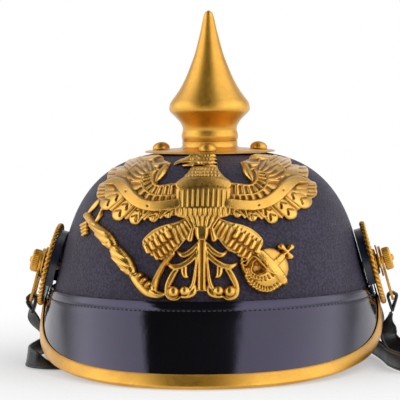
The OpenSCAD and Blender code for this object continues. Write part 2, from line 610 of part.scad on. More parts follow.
// A raised strip along a line of [x, z, half width, height], ridged or with a rounded back
module strip(line, rounded = false) {
    n = len(line) - 1;
    section = rounded ? [[-1, 0], [-1, 1], [-0.55, 0.85], [0, 2], [0.55, 0.85], [1, 1], [1, 0]]
                      : [[-1, 0], [-1, 1], [0, 2], [1, 1], [1, 0]];
    skin([for (i = [0:n]) let (
        p = line[i], d = line[min(n, i + 1)] - line[max(0, i - 1)], run = unit([d[0], d[1]]),
        low = min(plate_edge, p[3]))
        [for (c = section)
            on_front(p[0] - c[0] * p[2] * run[1], p[1] + c[0] * p[2] * run[0],
                c[1] == 0 ? plate_back : c[1] == 1 ? low : c[1] == 2 ? p[3] : lerp(low, p[3], c[1]))]]);
}
// A feather from its root to its rounded tip
module feather(root, tip, half_w, h_root, h_tip) {
    strip([for (c = [[0, 0.7, 0], [0.5, 1, 0.6], [0.86, 0.86, 1], [1, 0.35, 0.75]])
        [lerp(root[0], tip[0], c[0]), lerp(root[1], tip[1], c[0]), half_w * c[1], lerp(h_root, h_tip, c[2])]]);
}
module both_sides() for (m = [0, 1]) mirror([m, 0, 0]) children();
// A round bead or a toe: a hull of two balls set on the plate
module bead(a, b, r, lift = 0) hull() for (p = [a, b])
    translate(on_front(p[0], p[1], r + plate_back / 2 + lift)) sphere(r = r, $fn = 8);

// Five lines run the length of a wing, from the body to its top edge: the inner edge, the ends of
// the short coverts, the ribbon's upper and lower edge, and the feather tips
wing_lines = [
    [[12, 119.5], [19, 121.8], [25.5, 121.6], [30.5, 122.4], [32.2, 124.2], [31.6, 126.4],
     [29.8, 128.6], [27.6, 131], [26.5, 134]],
    [[13, 115.6], [21.4, 116], [28.8, 115.5], [34.6, 117.6], [38.4, 120.4], [39.6, 124],
     [38.4, 127.4], [35.6, 131], [31, 135.6]],
    [[13.6, 114.2], [23.4, 114.3], [31.8, 113.4], [39, 115], [45.4, 119], [50.6, 123.6],
     [52, 128.4], [46, 132.8], [37.5, 136.2]],
    [[13.6, 107], [23.8, 107], [33.4, 106.1], [42, 107.4], [50, 112.4], [56, 118.4],
     [58.5, 124.6], [53.5, 130.8], [44, 135.2]],
    [[15.6, 100.6], [29, 98.4], [43.5, 97.2], [57, 99.2], [67.5, 104.6], [72, 113],
     [68.5, 121.2], [61.5, 128.6], [50.5, 133.4]]];
ribbon_end = 0.8;
function wing_at(t, s) = let (i = min(3, floor(s)), n = len(wing_lines[0]) - 1)
    lerp(spline_at(wing_lines[i], t * n), spline_at(wing_lines[i + 1], t * n), s - i);

// Across the wing: place between the lines, height over the ground, and how much the feathers show
wing_section = [[0, -1, 0], [0.12, 0.5, 0.5], [0.94, 0.9, 0.6], [1.04, 0.1, 0.4], [1.95, 0.6, 0.8],
                [2.04, 2, 0], [2.5, 2.4, 0], [2.96, 2, 0], [3.06, 0.1, 0.6], [3.86, 0.7, 0.8], [4, -1, 0]];
module wing() {
    rings = 3 * wing_feathers;
    skin([for (i = [rings:-1:0]) let (
        t = i / rings, ridge = sin(60 * (i % 3)), shown = t < ribbon_end ? 1 : 0,
        reach = function (s) s > 3.5 ? s - 0.2 * (1 - ridge) : s,
        height = function (c) c[1] < 0 ? plate_edge
            : c[1] < 2 ? plate_ground + feather_rise * (c[1] + c[2] * ridge)
            : lerp(plate_ground + feather_rise * (0.6 + ridge * 0.6),
                   ribbon_rise + (c[1] - 2), shown))
        concat([for (c = wing_section) let (p = wing_at(t, reach(c[0]))) on_front(p[0], p[1], height(c))],
               [for (s = [reach(4), 3, 1.5, 0]) let (p = wing_at(t, s)) on_front(p[0], p[1], plate_back)])]);
}

// Torso as rows of [height, half width, rise], from under the head to the root of the tail;
// the rise falls back at the start of each row of feathers
torso = [[131.5, 4.8, 3.4], [129, 5.8, 3.9], [126, 8.6, 4.4], [123.6, 15, 4.8], [121.2, 16.2, breast_rise],
         [121, 16.2, breast_rise - 1], [116.6, 16.4, breast_rise], [116.4, 16.4, breast_rise - 1],
         [111.6, 16.2, breast_rise], [111.4, 16.2, breast_rise - 1], [107, 15.2, breast_rise],
         [106.8, 15.2, breast_rise - 1.2], [103.4, 13.6, 4.8], [103.2, 13.4, 3.8], [100, 10, 4.4],
         [99.8, 9.8, 3.4], [96.4, 6, 4], [94, 3.6, 3]];
breast_cols = 7;
module torso_body() skin([for (row = torso) let (flutes = row[0] < 121.1 ? 0.7 : 0.2) concat(
    [for (j = [0:2 * breast_cols]) let (c = j / breast_cols - 1)
        on_front(c * row[1], row[0], plate_edge + (row[2] - plate_edge) * sqrt(max(0, 1 - c * c))
            + (j % 2 == 1 ? flutes : 0))],
    [for (c = [1, 0.4, -0.4, -1]) on_front(c * row[1], row[0], plate_back)])]);

module head() {
    strip([[1.6, 129.6, 5.4, 3.6], [1.4, 132.4, 5.8, 4.4], [0.8, 134.8, 5.4, 4.6], [-0.4, 137, 3.4, 3.4]], true);
    strip([[-3.5, 134.6, 1.8, 4.4], [-8, 134.8, 1.4, 3.6], [-12, 134.4, 1, 2.8], [-15.6, 133.2, 0.4, 2]]);
    strip([[-3.5, 132.6, 1.2, 4], [-8, 132.3, 0.9, 3], [-11.6, 131.9, 0.4, 2]]);
    bead([-2, 135.2], [-2.4, 135.2], 0.8, 3.2);
    // Throat feathers in two rows
    for (row = [0, 1]) for (i = [-1.5:1.5]) let (x = 0.6 + i * (2.6 + 0.6 * row), z = 130.4 - 2.6 * row)
        feather([x, z + 1.3], [x, z - 1.1], 1.3, 3.9, 5);
    strip([for (x = [-16, -8, 0, 8, 16]) [x, 123.6 - pow(x / 16, 2) * 2.6, 2.5, breast_rise + 0.6]], true);
}

module tail_half() {
    strip([for (p = spline([[1.1, 89, 1.1], [1.4, 80, 1.2], [1.9, 72, 1.4], [3.2, 64, 1.7], [5.4, 58, 2],
        [8.2, 53.6, 2.2]], 6)) [p[0], p[1], p[2], 3.4]]);
    strip([for (p = spline([[13, 70.5, 0.9], [18.5, 70, 1.4], [22.2, 66, 1.6], [24, 60.5, 1.7],
        [23.2, 55.4, 1.7], [19.4, 52.6, 1.5], [14, 52.2, 1.4], [8, 53, 1.4]], 10))
        [p[0], p[1], p[2], 3]]);
    strip([for (p = spline([[1.5, 89, 1], [4, 84.4, 1.4], [8, 81, 1.7], [12, 79.6, 1.5], [15.6, 81.6, 0.5]], 5))
        [p[0], p[1], p[2], 2.9]]);
    strip([for (p = spline([[1.6, 83.5, 1], [5, 78, 1.4], [10, 74.2, 1.7], [16, 72.4, 1.8], [20, 73.8, 1.4],
        [23.2, 77.4, 0.6]], 6)) [p[0], p[1], p[2], 2.9]]);
    strip([[10, 74, 1, 2.4], [11.4, 70, 1.8, 3], [10.6, 67.4, 1.6, 2.8], [9, 65, 0.5, 2]]);
    strip([[3.4, 97.5, 1.2, 3.4], [4.4, 92, 1.6, 3.6], [6.8, 86, 0.7, 2.4]]);
    for (x = [1.6, 4.8]) feather([x, 101], [x * 0.5, 94.6], 1.4, 4, 4.8);
    bead([10, 57], [10, 57.2], 2.6);
    bead([17, 57], [17, 57.2], 2.9);
}
thigh_top = [[9, 102.5], [18, 100], [27, 97], [34, 92.5], [38, 86.6]];
thigh_low = [[6.5, 97.5], [9, 92], [13, 85.8], [18, 80.8], [25, 77]];
// Along the thigh: share of its length, and how far the feathers have risen to their tips
thigh_steps = [[0, 0], [0.31, 1], [0.33, 0], [0.64, 1], [0.66, 0], [0.97, 1], [1, -1]];
thigh_rows = 4;
module thigh() {
    n = len(thigh_top) - 1;
    skin([for (i = [len(thigh_steps) - 1:-1:0]) let (c = thigh_steps[i],
        a = spline_at(thigh_top, c[0] * n), b = spline_at(thigh_low, c[0] * n)) concat(
        [for (j = [0:2 * thigh_rows]) let (v = j / (2 * thigh_rows), p = lerp(a, b, v))
            on_front(p[0], p[1], v == 0 || v == 1 || c[1] < 0 ? plate_edge
                : 2.4 + 1.6 * sin(180 * v) + c[1] + (j % 2 == 1 ? 0.5 : 0))],
        [for (v = [1, 0.5, 0]) let (p = lerp(a, b, v)) on_front(p[0], p[1], plate_back)])]);
}

orb_mid = [41.5, 69];
orb_tilt = 55;
orb_rise = 6.4;
function orb_point(a, q) = [orb_mid[0] + orb_r * q * cos(a), orb_mid[1] + orb_r * q * sin(a)];
function orb_height(q) = plate_edge + (orb_rise - plate_edge) * sqrt(max(0, 1 - q * q));
module orb() {
    skin([for (q = [0.3, 1, 0.94, 0.76, 0.45, 0.12]) [for (j = [0:13]) let (p = orb_point(-j * 360 / 14, q))
        on_front(p[0], p[1], q == 0.3 || q == 1 ? plate_back : orb_height(q))]]);
    // Girdle round the orb, the half hoop up to the cross, and the cross
    strip([for (q = [-0.98, -0.6, 0, 0.6, 0.98]) let (p = orb_point(orb_tilt - 90, q))
        [p[0], p[1], 1.7, orb_height(abs(q)) + 0.9]]);
    strip([for (q = [0.1, 0.55, 0.98]) let (p = orb_point(orb_tilt, q))
        [p[0], p[1], 1.5, orb_height(q) + 0.9]]);
    hub = orb_point(orb_tilt, 1.33);
    for (a = [0:90:270]) let (d = [cos(a + orb_tilt), sin(a + orb_tilt)])
        strip([[hub[0], hub[1], 0.8, 3.4], [hub[0] + 2.6 * d[0], hub[1] + 2.6 * d[1], 1.1, 3.2],
               [hub[0] + 5 * d[0], hub[1] + 5 * d[1], 2, 3]]);
}
module right_foot() {
    strip([[25.5, 79, 2, 3.2], [27.5, 73, 1.7, 3.2], [28.6, 66.5, 2, 4]], true);
    strip([[27, 77.5, 1.6, 4.6], [33.5, 74.6, 2.4, 7.2], [40.5, 68.4, 1, 8]]);
    strip([[28, 70.5, 1.4, 4.6], [33.6, 66.4, 2.2, 7], [40, 64.6, 0.8, 7.6]]);
    strip([[28.4, 66, 1.6, 4], [31.5, 59.5, 2.6, 5], [37.5, 54.2, 2.6, 5], [47.4, 56, 1, 4.6]]);
}
sceptre_line = [[-24, 53.6, 2.4], [-30, 54.4, 3], [-35, 57.4, 3.2], [-39.6, 62.4, 2.4], [-42.6, 66.6, 1.5],
                [-45.2, 70, 3.2], [-49, 75.6, 4.2], [-53, 81.2, 3.2], [-56, 85.4, 1.6], [-59, 88.8, 2.8],
                [-63.4, 93.4, 3.2], [-67.4, 97, 1.8], [-71, 100.2, 1.7], [-75, 103, 1.6], [-78, 105, 0.8]];
module sceptre() {
    strip([for (p = spline(sceptre_line, 26)) [p[0], p[1], p[2], plate_edge + 0.9 * p[2] + 0.6]], true);
    strip([[-69.6, 112, 1, 2], [-72.6, 108, 1.3, 2.2], [-76, 104.6, 0.9, 2]]);
    strip([[-66.6, 107, 0.9, 2], [-67.6, 103, 1.2, 2.2], [-69, 99.4, 0.8, 2]]);
    strip([[-76.6, 101, 0.8, 2], [-80, 96, 1.5, 2.4], [-79, 91.6, 1.5, 2.4], [-78.4, 89, 0.6, 1.8]]);
}
module left_foot() {
    strip([[-24.5, 79, 1.8, 3.2], [-27, 70, 1.5, 3.2], [-31.4, 60.5, 1.7, 4.4]], true);
    bead([-38.4, 68], [-34.4, 63], 1.7, 0.9);
    bead([-35.4, 63.4], [-32.4, 59], 1.7, 1.5);
    bead([-29, 57], [-22.6, 55], 1.9);
}
module eagle_plate() color([0.9, 0.66, 0.25]) union() {
    both_sides() {
        wing();
        thigh();
        tail_half();
    }
    torso_body();
    head();
    strip([[0, 96.5, 3, 4], [0, 91.5, 3.3, 4.4], [0, 87.6, 1.6, 3.4]], true);
    orb();
    right_foot();
    sceptre();
    left_foot();
}
module eagle_lugs() color([0.75, 0.55, 0.2]) for (x = [-lug_x, lug_x])
    translate([x, front_y(x, lug_z) + plate_back * 0.6, lug_z]) rotate([-90, 0, 0])
        cylinder(r = lug_r, h = lug_nut_at + nut_h);
module eagle_nuts() color([0.75, 0.6, 0.35]) for (x = [-lug_x, lug_x])
    translate([x, front_y(x, lug_z) + lug_nut_at, lug_z]) rotate([-90, 0, 0]) difference() {
        cylinder(r = nut_r, h = nut_h, $fn = 6);
        translate([0, 0, -1]) cylinder(r = lug_r + thread_gap, h = 5);
    }

// LINING
// Between shell and sweatband: room at the rim, and at its top for the nuts of the posts
rim_room = 2.3;      // [1.6:0.1:4]
post_room = 7.8;     // [7:0.2:12]
band_low_r = shell_r(rim_z, shell_t) - sweatband_t - rim_room;
band_top_r = shell_r(sweatband_top, shell_t) - sweatband_t - post_room;
band_low_z = rim_z - 3.4;
// A ring round the head, with its section of [radius, height] drawn out by the plan's length
module head_ring(section, steps) loop_skin([for (i = [0:steps - 1]) let (a = i * 360 / steps)
    [for (c = section) [c[0] * cos(a), plan_ratio * c[0] * sin(a), c[1]]]]);
module sweatband() color([0.45, 0.3, 0.18]) head_ring([
    [shell_r(rim_z) - 0.8, rim_z - lay_gap - 1.2], [shell_r(rim_z) - 0.8, rim_z - lay_gap],
    [band_low_r + sweatband_t, rim_z - 1.5], [band_top_r + sweatband_t, sweatband_top + 0.4],
    [band_top_r, sweatband_top], [band_low_r, band_low_z]], 60);
function band_r(z) = lerp(band_low_r, band_top_r, (z - band_low_z) / (sweatband_top - band_low_z));
// Each tongue keeps to its own sector and narrows with it towards the crown
tongue_t = 1.2;
tongue_half_a = 0.372 * 360 / tongues;
function lining_z(share) = lerp(sweatband_top, crown_z - shell_t, share);
tongue_line = [[band_r(sweatband_top - 8) - 3 * lay_gap, sweatband_top - 8],
               [0.955 * band_top_r, lining_z(0.123)], [0.875 * band_top_r, lining_z(0.324)],
               [0.705 * band_top_r, lining_z(0.509)], [0.511 * band_top_r, lining_z(0.627)],
               [drawcord_ring - 2, lining_z(0.685)]];
module liner_tongues() color([0.55, 0.38, 0.24])
    let (line = spline(tongue_line, 7), last = len(line) - 1,
         section = concat(line, [for (i = [last:-1:0]) line[i] - 0.75 * tongue_t * [1, 1]]))
    for (k = [0:tongues - 1]) skin([for (c = [-1, 0, 1])
        let (a = (k + 0.5) * 360 / tongues + c * tongue_half_a)
        [for (p = section) [p[0] * cos(a), plan_ratio * p[0] * sin(a), p[1]]]], strip = true);
module liner_drawcord() color([0.8, 0.75, 0.62]) head_ring([for (a = [0:60:300])
    [drawcord_ring + 1.1 * cos(a), lining_z(0.639) + 1.1 * sin(a)]], 36);

shell();
front_visor();
rear_visor();
front_visor_trim();
rear_spine();
spine_studs();
spine_nuts();
vent_shutter();
base_plate();
base_studs();
base_stud_nuts();
spike();
spike_spigot();
eagle_plate();
eagle_lugs();
eagle_nuts();
cockade_left();
cockade_right();
cockade_cord_left();
cockade_cord_right();
rosette_left();
rosette_right();
flange_left();
flange_right();
post_left();
post_right();
post_nuts();
knob_left();
knob_right();
bail_left();
bail_right();
strap_left();
strap_right();
strap_buckle();
strap_keepers();
sweatband();
liner_tongues();
liner_drawcord();
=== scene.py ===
# Spiked parade helmet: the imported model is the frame, and the pieces are dressed in the order in
# which the helmet is put together. Sizes are in millimetres until a mesh is made from them.
import json
import math

import bpy
import numpy as np
from mathutils import Matrix, Vector

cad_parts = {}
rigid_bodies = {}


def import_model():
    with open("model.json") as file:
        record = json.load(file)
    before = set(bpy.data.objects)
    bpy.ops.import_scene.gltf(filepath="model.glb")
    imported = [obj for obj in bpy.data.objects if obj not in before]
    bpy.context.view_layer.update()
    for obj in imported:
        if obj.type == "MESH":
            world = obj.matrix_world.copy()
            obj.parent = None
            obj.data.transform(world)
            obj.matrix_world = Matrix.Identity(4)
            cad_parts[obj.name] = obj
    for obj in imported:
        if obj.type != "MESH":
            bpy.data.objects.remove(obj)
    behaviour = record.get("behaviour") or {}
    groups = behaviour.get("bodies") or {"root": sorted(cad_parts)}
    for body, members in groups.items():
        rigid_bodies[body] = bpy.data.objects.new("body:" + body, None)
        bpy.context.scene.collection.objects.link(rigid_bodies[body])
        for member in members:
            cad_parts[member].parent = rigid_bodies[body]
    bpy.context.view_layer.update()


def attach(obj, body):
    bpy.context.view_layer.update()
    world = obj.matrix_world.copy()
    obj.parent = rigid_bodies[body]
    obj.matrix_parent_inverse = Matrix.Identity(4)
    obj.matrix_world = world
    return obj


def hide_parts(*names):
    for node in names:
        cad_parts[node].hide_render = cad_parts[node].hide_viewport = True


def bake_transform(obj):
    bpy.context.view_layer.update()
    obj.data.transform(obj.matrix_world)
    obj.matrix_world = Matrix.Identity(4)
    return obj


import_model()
MM = 0.001

# Shell: the skull of pressed cowhide, blocked over a wooden form, dyed and given a matt finish
# that keeps the pebble grain. Its wall runs down inside the visors.
SEAM_Z, RIM_Z, SHOULDER_Z, CROWN_Z = 50.0, 42.0, 76.4, 141.2
SHELL_HALF_W, FLANK_SLOPE, PLAN_RATIO, SHELL_WALL = 106.3, 0.272, 1.13, 2.4
FLANK_ANGLE = math.atan(FLANK_SLOPE)
DOME_RISE, DOME_ROUND, CROWN_HOLE_R = 2.9, 3.45, 7.0


def shell_r(z, inset=0.0):
    """Half the width of the shell at a height, as an array or a number."""
    up = np.maximum(0.0, np.asarray(z, float) - SHOULDER_Z) / (CROWN_Z - inset - SHOULDER_Z)
    flank = SHELL_HALF_W - inset / math.cos(FLANK_ANGLE) - FLANK_SLOPE * (np.asarray(z) - SEAM_Z)
    return flank * np.maximum(0.0, 1.0 - up ** DOME_RISE) ** (1 / DOME_ROUND)


def edit_all(*steps):
    """Runs mesh operators on everything that the active object holds."""
    bpy.ops.object.mode_set(mode="EDIT")
    bpy.ops.mesh.select_all(action="SELECT")
    for step, options in steps:
        step(**options)
    bpy.ops.object.mode_set(mode="OBJECT")


def turned(name, profile, steps=128, length=1.0):
    """A piece turned on the spike's axis from a closed section of [radius, height]."""
    bpy.ops.object.select_all(action="DESELECT")
    bpy.ops.mesh.primitive_circle_add(vertices=len(profile), fill_type="NOTHING")
    piece = bpy.context.object
    piece.name = piece.data.name = name
    for vertex, (r, z) in zip(piece.data.vertices, profile):
        vertex.co = (r * MM, 0, z * MM)
    edit_all((bpy.ops.mesh.spin, dict(steps=steps, angle=2 * math.pi, center=(0, 0, 0), axis=(0, 0, 1))),
             (bpy.ops.mesh.select_all, dict(action="SELECT")),
             (bpy.ops.mesh.remove_doubles, dict(threshold=1e-6)),
             (bpy.ops.mesh.delete_loose, {}),
             (bpy.ops.mesh.select_all, dict(action="SELECT")),
             (bpy.ops.transform.resize, dict(value=(1, length, 1), center_override=(0, 0, 0))),
             (bpy.ops.mesh.normals_make_consistent, dict(inside=False)))
    bpy.ops.object.shade_smooth_by_angle(angle=math.radians(38))
    return piece


def coat(piece, material):
    piece.data.materials.clear()
    piece.data.materials.append(material)
    return piece


def new_finish(name, colour, roughness, metallic=0.0, **sockets):
    """A Principled material and its shader; sockets are given by their names with _ for a space."""
    material = bpy.data.materials.new(name)
    material.use_nodes = True
    shader = material.node_tree.nodes["Principled BSDF"]
    shader.inputs["Base Color"].default_value = (*colour, 1)
    shader.inputs["Roughness"].default_value = roughness
    shader.inputs["Metallic"].default_value = metallic
    for socket, value in sockets.items():
        shader.inputs[socket.replace("_", " ")].default_value = value
    return material


def add_node(material, kind, links=None, **values):
    """Adds one shader node; values set its sockets or, failing that, its properties."""
    made = material.node_tree.nodes.new(kind)
    for key, value in values.items():
        socket = key.replace("_", " ")
        if socket in made.inputs:
            made.inputs[socket].default_value = value
        else:
            setattr(made, key, value)
    for socket, source in (links or {}).items():
        material.node_tree.links.new(source, made.inputs[socket])
    return made


def wire(material, source, socket):
    shader = material.node_tree.nodes["Principled BSDF"]
    material.node_tree.links.new(source, shader.inputs[socket])


def object_place(material):
    return add_node(material, "ShaderNodeTexCoord").outputs["Object"]


def noise(material, place, scale, **values):
    return add_node(material, "ShaderNodeTexNoise", {"Vector": place}, Scale=scale, **values).outputs["Fac"]


def bump_by(material, height, strength, distance):
    bump = add_node(material, "ShaderNodeBump", {"Height": height}, Strength=strength, Distance=distance)
    wire(material, bump.outputs["Normal"], "Normal")


def blend_of(material, factor, low, high):
    """A colour that runs from low to high with a factor."""
    ramp = add_node(material, "ShaderNodeValToRGB", {"Fac": factor})
    for stop, colour, position in zip(ramp.color_ramp.elements, (low, high), (0.32, 0.7)):
        stop.color, stop.position = (*colour, 1), position
    return ramp.outputs["Color"]


def range_of(material, factor, low, high):
    return add_node(material, "ShaderNodeMapRange", {"Value": factor}, From_Min=0.3, From_Max=0.7,
                    To_Min=low, To_Max=high).outputs["Result"]


def grained_leather(name, low, high, roughness, grain, depth):
    """Leather with pebbles of a given size in mm, painted shade darkening the creases between them, and a
    mottled dye.
    """
    material = new_finish(name, high, roughness, Specular_IOR_Level=0.34)
    place = object_place(material)
    bend = add_node(material, "ShaderNodeTexNoise", {"Vector": place}, Scale=260.0, Detail=3.0)
    wander = add_node(material, "ShaderNodeMixRGB", {"Color1": place, "Color2": bend.outputs["Color"]},
                      Fac=0.0016)
    pebbles = add_node(material, "ShaderNodeTexVoronoi", {"Vector": wander.outputs["Color"]},
                       Scale=1000.0 / grain, Randomness=0.9).outputs["Distance"]
    pores = noise(material, place, 1900.0, Detail=2.0)
    height = add_node(material, "ShaderNodeMath", {0: pebbles, 1: pores}, operation="SUBTRACT")
    bump_by(material, height.outputs["Value"], 0.9, -depth * MM)
    dye = noise(material, place, 22.0, Detail=6.0)
    # Painted shade: the creases between the pebbles are darkened in the base colour.
    crease_shade_mask = add_node(material, "ShaderNodeMapRange", {"Value": pebbles}, From_Min=0.1, From_Max=0.7,
                     To_Min=0.0, To_Max=0.85).outputs["Result"]
    crease_painted_shade = add_node(material, "ShaderNodeMixRGB",
                      {"Fac": crease_shade_mask, "Color1": blend_of(material, dye, low, high)},
                      Color2=tuple(0.34 * c for c in low) + (1,))
    wire(material, crease_painted_shade.outputs["Color"], "Base Color")
    wire(material, range_of(material, dye, roughness + 0.06, roughness - 0.06), "Roughness")
    return material


dome_share = np.sin(np.radians(np.linspace(5, 87, 40))) ** (2 / DOME_RISE)
heights = np.concatenate([[RIM_Z], np.linspace(SEAM_Z, SHOULDER_Z, 6),
                          SHOULDER_Z + (CROWN_Z - SHOULDER_Z) * dome_share])
inner_heights = heights - (heights - SHOULDER_Z).clip(0) / (CROWN_Z - SHOULDER_Z) * SHELL_WALL
wall = [(float(shell_r(z)), z) for z in heights] + [(CROWN_HOLE_R, CROWN_Z)]
wall += [(CROWN_HOLE_R, CROWN_Z - SHELL_WALL)]
wall += [(float(shell_r(z, SHELL_WALL)), z) for z in inner_heights[::-1]]
shell = turned("shell_leather", wall, steps=192, length=PLAN_RATIO)
coat(shell, grained_leather("pebbled_leather", low=(0.04, 0.031, 0.064), high=(0.073, 0.057, 0.112),
                            roughness=0.55, grain=1.9, depth=0.7))
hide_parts("shell")
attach(shell, "helmet")

# Visors: two flaps of thick leather, lacquered to a gloss, sewn round the shell's rim with their
# upper edge as a band. The front one dips to the table, and both climb to the cockades.
VISOR_T, BAND_GAP, VISOR_END, END_TUCK, FOLD_Z = 2.2, 0.6, 88.6, 0.85, 41.5
FRONT = dict(half_w=112.0, reach=157.0, rise=(21, 3.2, 18, 16, 0.3), to=-1)
REAR = dict(half_w=118.0, reach=153.0, rise=(25, 2.6, 14, 20, -1.5), to=1)
ROUND_FROM, ROUND_TO = 0.72, 1.12
STITCH_Z, THREAD_DEPTH, THREAD_HALF_W = 44.3, 0.35, 0.8


def edge_z(a, rise):
    """Height of a visor's edge: a slow climb, and a late one up to the cockades."""
    slow, slow_power, late, late_power, low = rise
    w = np.abs(a) / VISOR_END
    return low + slow * w ** slow_power + late * w ** late_power


def band_point(a, z, to):
    r, turn = shell_r(z), np.radians(a)
    return np.stack([(r + BAND_GAP) * np.sin(turn), to * (PLAN_RATIO * r + BAND_GAP) * np.cos(turn),
                     z + 0 * turn], -1)


def visor_point(a, s, flap):
    """Inner face of a visor: a runs round it, s from 0 at the seam over the fold at 1 to the edge."""
    a, s = np.broadcast_arrays(np.asarray(a, float), np.asarray(s, float))
    z, turn = edge_z(a, flap["rise"]), np.radians(a)
    free = np.stack([flap["half_w"] * np.sin(turn), flap["to"] * flap["reach"] * np.cos(turn), z], -1)
    tuck = (END_TUCK * (np.abs(a) / VISOR_END) ** 12)[..., None]
    edge = free + (band_point(a, z, flap["to"]) - free) * tuck
    fold = band_point(a, FOLD_Z + 0 * a, flap["to"])

    def straight(s):
        down = (s - 1).clip(0)[..., None]
        flare = fold + (edge - fold) * down
        flare[..., 2] += 1.6 * np.sin(np.pi * down[..., 0])
        band = band_point(a, SEAM_Z + (FOLD_Z - SEAM_Z) * s.clip(0, 1), flap["to"])
        return np.where((s <= 1)[..., None], band, flare)
    # The leather turns the fold on a radius of a few millimetres
    t = ((s - ROUND_FROM) / (ROUND_TO - ROUND_FROM)).clip(0, 1)[..., None]
    start, end = straight(0 * s + ROUND_FROM), straight(0 * s + ROUND_TO)
    curve = start * (1 - t) ** 2 + fold * 2 * t * (1 - t) + end * t ** 2
    return np.where(((s > ROUND_FROM) & (s < ROUND_TO))[..., None], curve, straight(s))


def visor_at(a, s, h, flap):
    """A place at a height over the visor's inner face."""
    ends = [visor_point(a + da, np.clip(s + ds, 0, 2), flap)
            for da, ds in ((-0.5, 0), (0.5, 0), (0, -0.06), (0, 0.06))]
    normal = np.cross(ends[1] - ends[0], ends[3] - ends[2]) * flap["to"]
    normal /= np.linalg.norm(normal, axis=-1, keepdims=True)
    return visor_point(a, s, flap) + np.asarray(h, float)[..., None] * normal


def grid_piece(name, rows, closed=True, capped=True, angle=40):
    """A piece from a grid primitive whose rows are laid on rings of points."""
    rows = np.asarray(rows, float)
    if closed:
        rows = np.concatenate([rows, rows[:, :1]], 1)
    bpy.ops.object.select_all(action="DESELECT")
    bpy.ops.mesh.primitive_grid_add(x_subdivisions=rows.shape[1] - 1, y_subdivisions=rows.shape[0] - 1)
    piece = bpy.context.object
    piece.name = piece.data.name = name
    piece.data.vertices.foreach_set("co", (rows * MM).ravel())
    piece.data.update()
    edit_all((bpy.ops.mesh.remove_doubles, dict(threshold=2e-6)))
    if capped:
        edit_all((bpy.ops.mesh.fill_holes, dict(sides=0)))
    edit_all((bpy.ops.mesh.normals_make_consistent, dict(inside=False)))
    bpy.ops.object.shade_smooth_by_angle(angle=math.radians(angle))
    return piece


def stepped(count):
    """Angles round a visor, closer together where its edge climbs at the ends."""
    t = np.linspace(-1, 1, count)
    return VISOR_END * np.sign(t) * (1 - (1 - np.abs(t)) ** 1.2)


def patent_leather():
    """Black lacquer: a deep gloss with faint ripples of the leather under it and fine scuffs."""
    material = new_finish("black_lacquer", (0.005, 0.0045, 0.006), 0.13,
                          Specular_IOR_Level=0.9, Specular_Tint=(0.72, 0.65, 1.0, 1))
    place = object_place(material)
    ripple, grain = noise(material, place, 75.0, Detail=4.0), noise(material, place, 900.0, Detail=2.0)
    mix = add_node(material, "ShaderNodeMath", {0: grain, 2: ripple}, operation="MULTIPLY_ADD")
    mix.inputs[1].default_value = 0.12
    bump_by(material, mix.outputs["Value"], 0.3, 0.0004)
    haze = noise(material, place, 14.0, Detail=7.0)
    wire(material, range_of(material, haze, 0.07, 0.14), "Roughness")
    wire(material, blend_of(material, haze, (0.002, 0.002, 0.002), (0.005, 0.005, 0.006)), "Base Color")
    return material


def visor(name, flap, node):
    outer = np.concatenate([np.linspace(0, 0.7, 8), np.linspace(0.74, ROUND_TO, 10),
                            np.linspace(1.18, 1.985, 22)])
    section_s = np.concatenate([outer, [1.997, 2.0, 1.997], outer[::-1]])
    section_h = VISOR_T * np.concatenate([0 * outer + 1, [0.86, 0.5, 0.14], 0 * outer])
    section_h[0] -= 0.3
    # The thread pulls a shallow groove into the band
    band_z = SEAM_Z + (FOLD_Z - SEAM_Z) * outer.clip(0, 1)
    section_h[:len(outer)] -= THREAD_DEPTH * np.exp(-((band_z - STITCH_Z) / THREAD_HALF_W) ** 2)
    a = stepped(181)[:, None]
    rows = visor_at(a + 0 * section_s, section_s + 0 * a, section_h + 0 * a, flap)
    rows[..., 2] = rows[..., 2].clip(0)
    piece = coat(grid_piece(name, rows), lacquer)
    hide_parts(node)
    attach(piece, "helmet")


lacquer = patent_leather()
visor("front_visor_leather", FRONT, "front_visor")
visor("rear_visor_leather", REAR, "rear_visor")

# Visor stitching: a row of waxed linen stitches through band and shell, about six millimetres under
# the seam. One stitch is modelled, and the rest are its copies.
STITCH_PITCH, STITCH_HALF, STITCH_END = 3.4, (1.25, 0.42, 0.5), 86.5


def stitch_row(name, flap):
    bpy.ops.object.select_all(action="DESELECT")
    bpy.ops.mesh.primitive_uv_sphere_add(segments=8, ring_count=5, radius=1.0)
    pattern = bpy.context.object
    edit_all((bpy.ops.transform.resize, dict(value=[half * MM for half in STITCH_HALF])))
    row_length = math.pi * (SHELL_HALF_W + PLAN_RATIO * SHELL_HALF_W) / 2
    copies = []
    s = (SEAM_Z - STITCH_Z) / (SEAM_Z - FOLD_Z)
    for a in np.linspace(-STITCH_END, STITCH_END, int(row_length / STITCH_PITCH)):
        low, high = (visor_at(np.array(a + d), np.array(s), np.array(VISOR_T - 0.2), flap)
                     for d in (-0.4, 0.4))
        along = Vector(high - low).normalized()
        out = Vector((math.sin(math.radians(a)), flap["to"] * math.cos(math.radians(a)), 0.25)).normalized()
        across = out.cross(along).normalized()
        copy = pattern.copy()
        copy.data = pattern.data.copy()
        turn = Matrix((along, across, along.cross(across))).transposed().to_4x4()
        copy.data.transform(Matrix.Translation(Vector((low + high) / 2 * MM)) @ turn)
        bpy.context.collection.objects.link(copy)
        copies.append(copy)
    bpy.data.objects.remove(pattern)
    for copy in copies:
        copy.select_set(True)
    bpy.context.view_layer.objects.active = copies[0]
    bpy.ops.object.join()
    piece = bpy.context.object
    piece.name = piece.data.name = name
    edit_all((bpy.ops.mesh.normals_make_consistent, dict(inside=False)))
    bpy.ops.object.shade_smooth()
    return piece


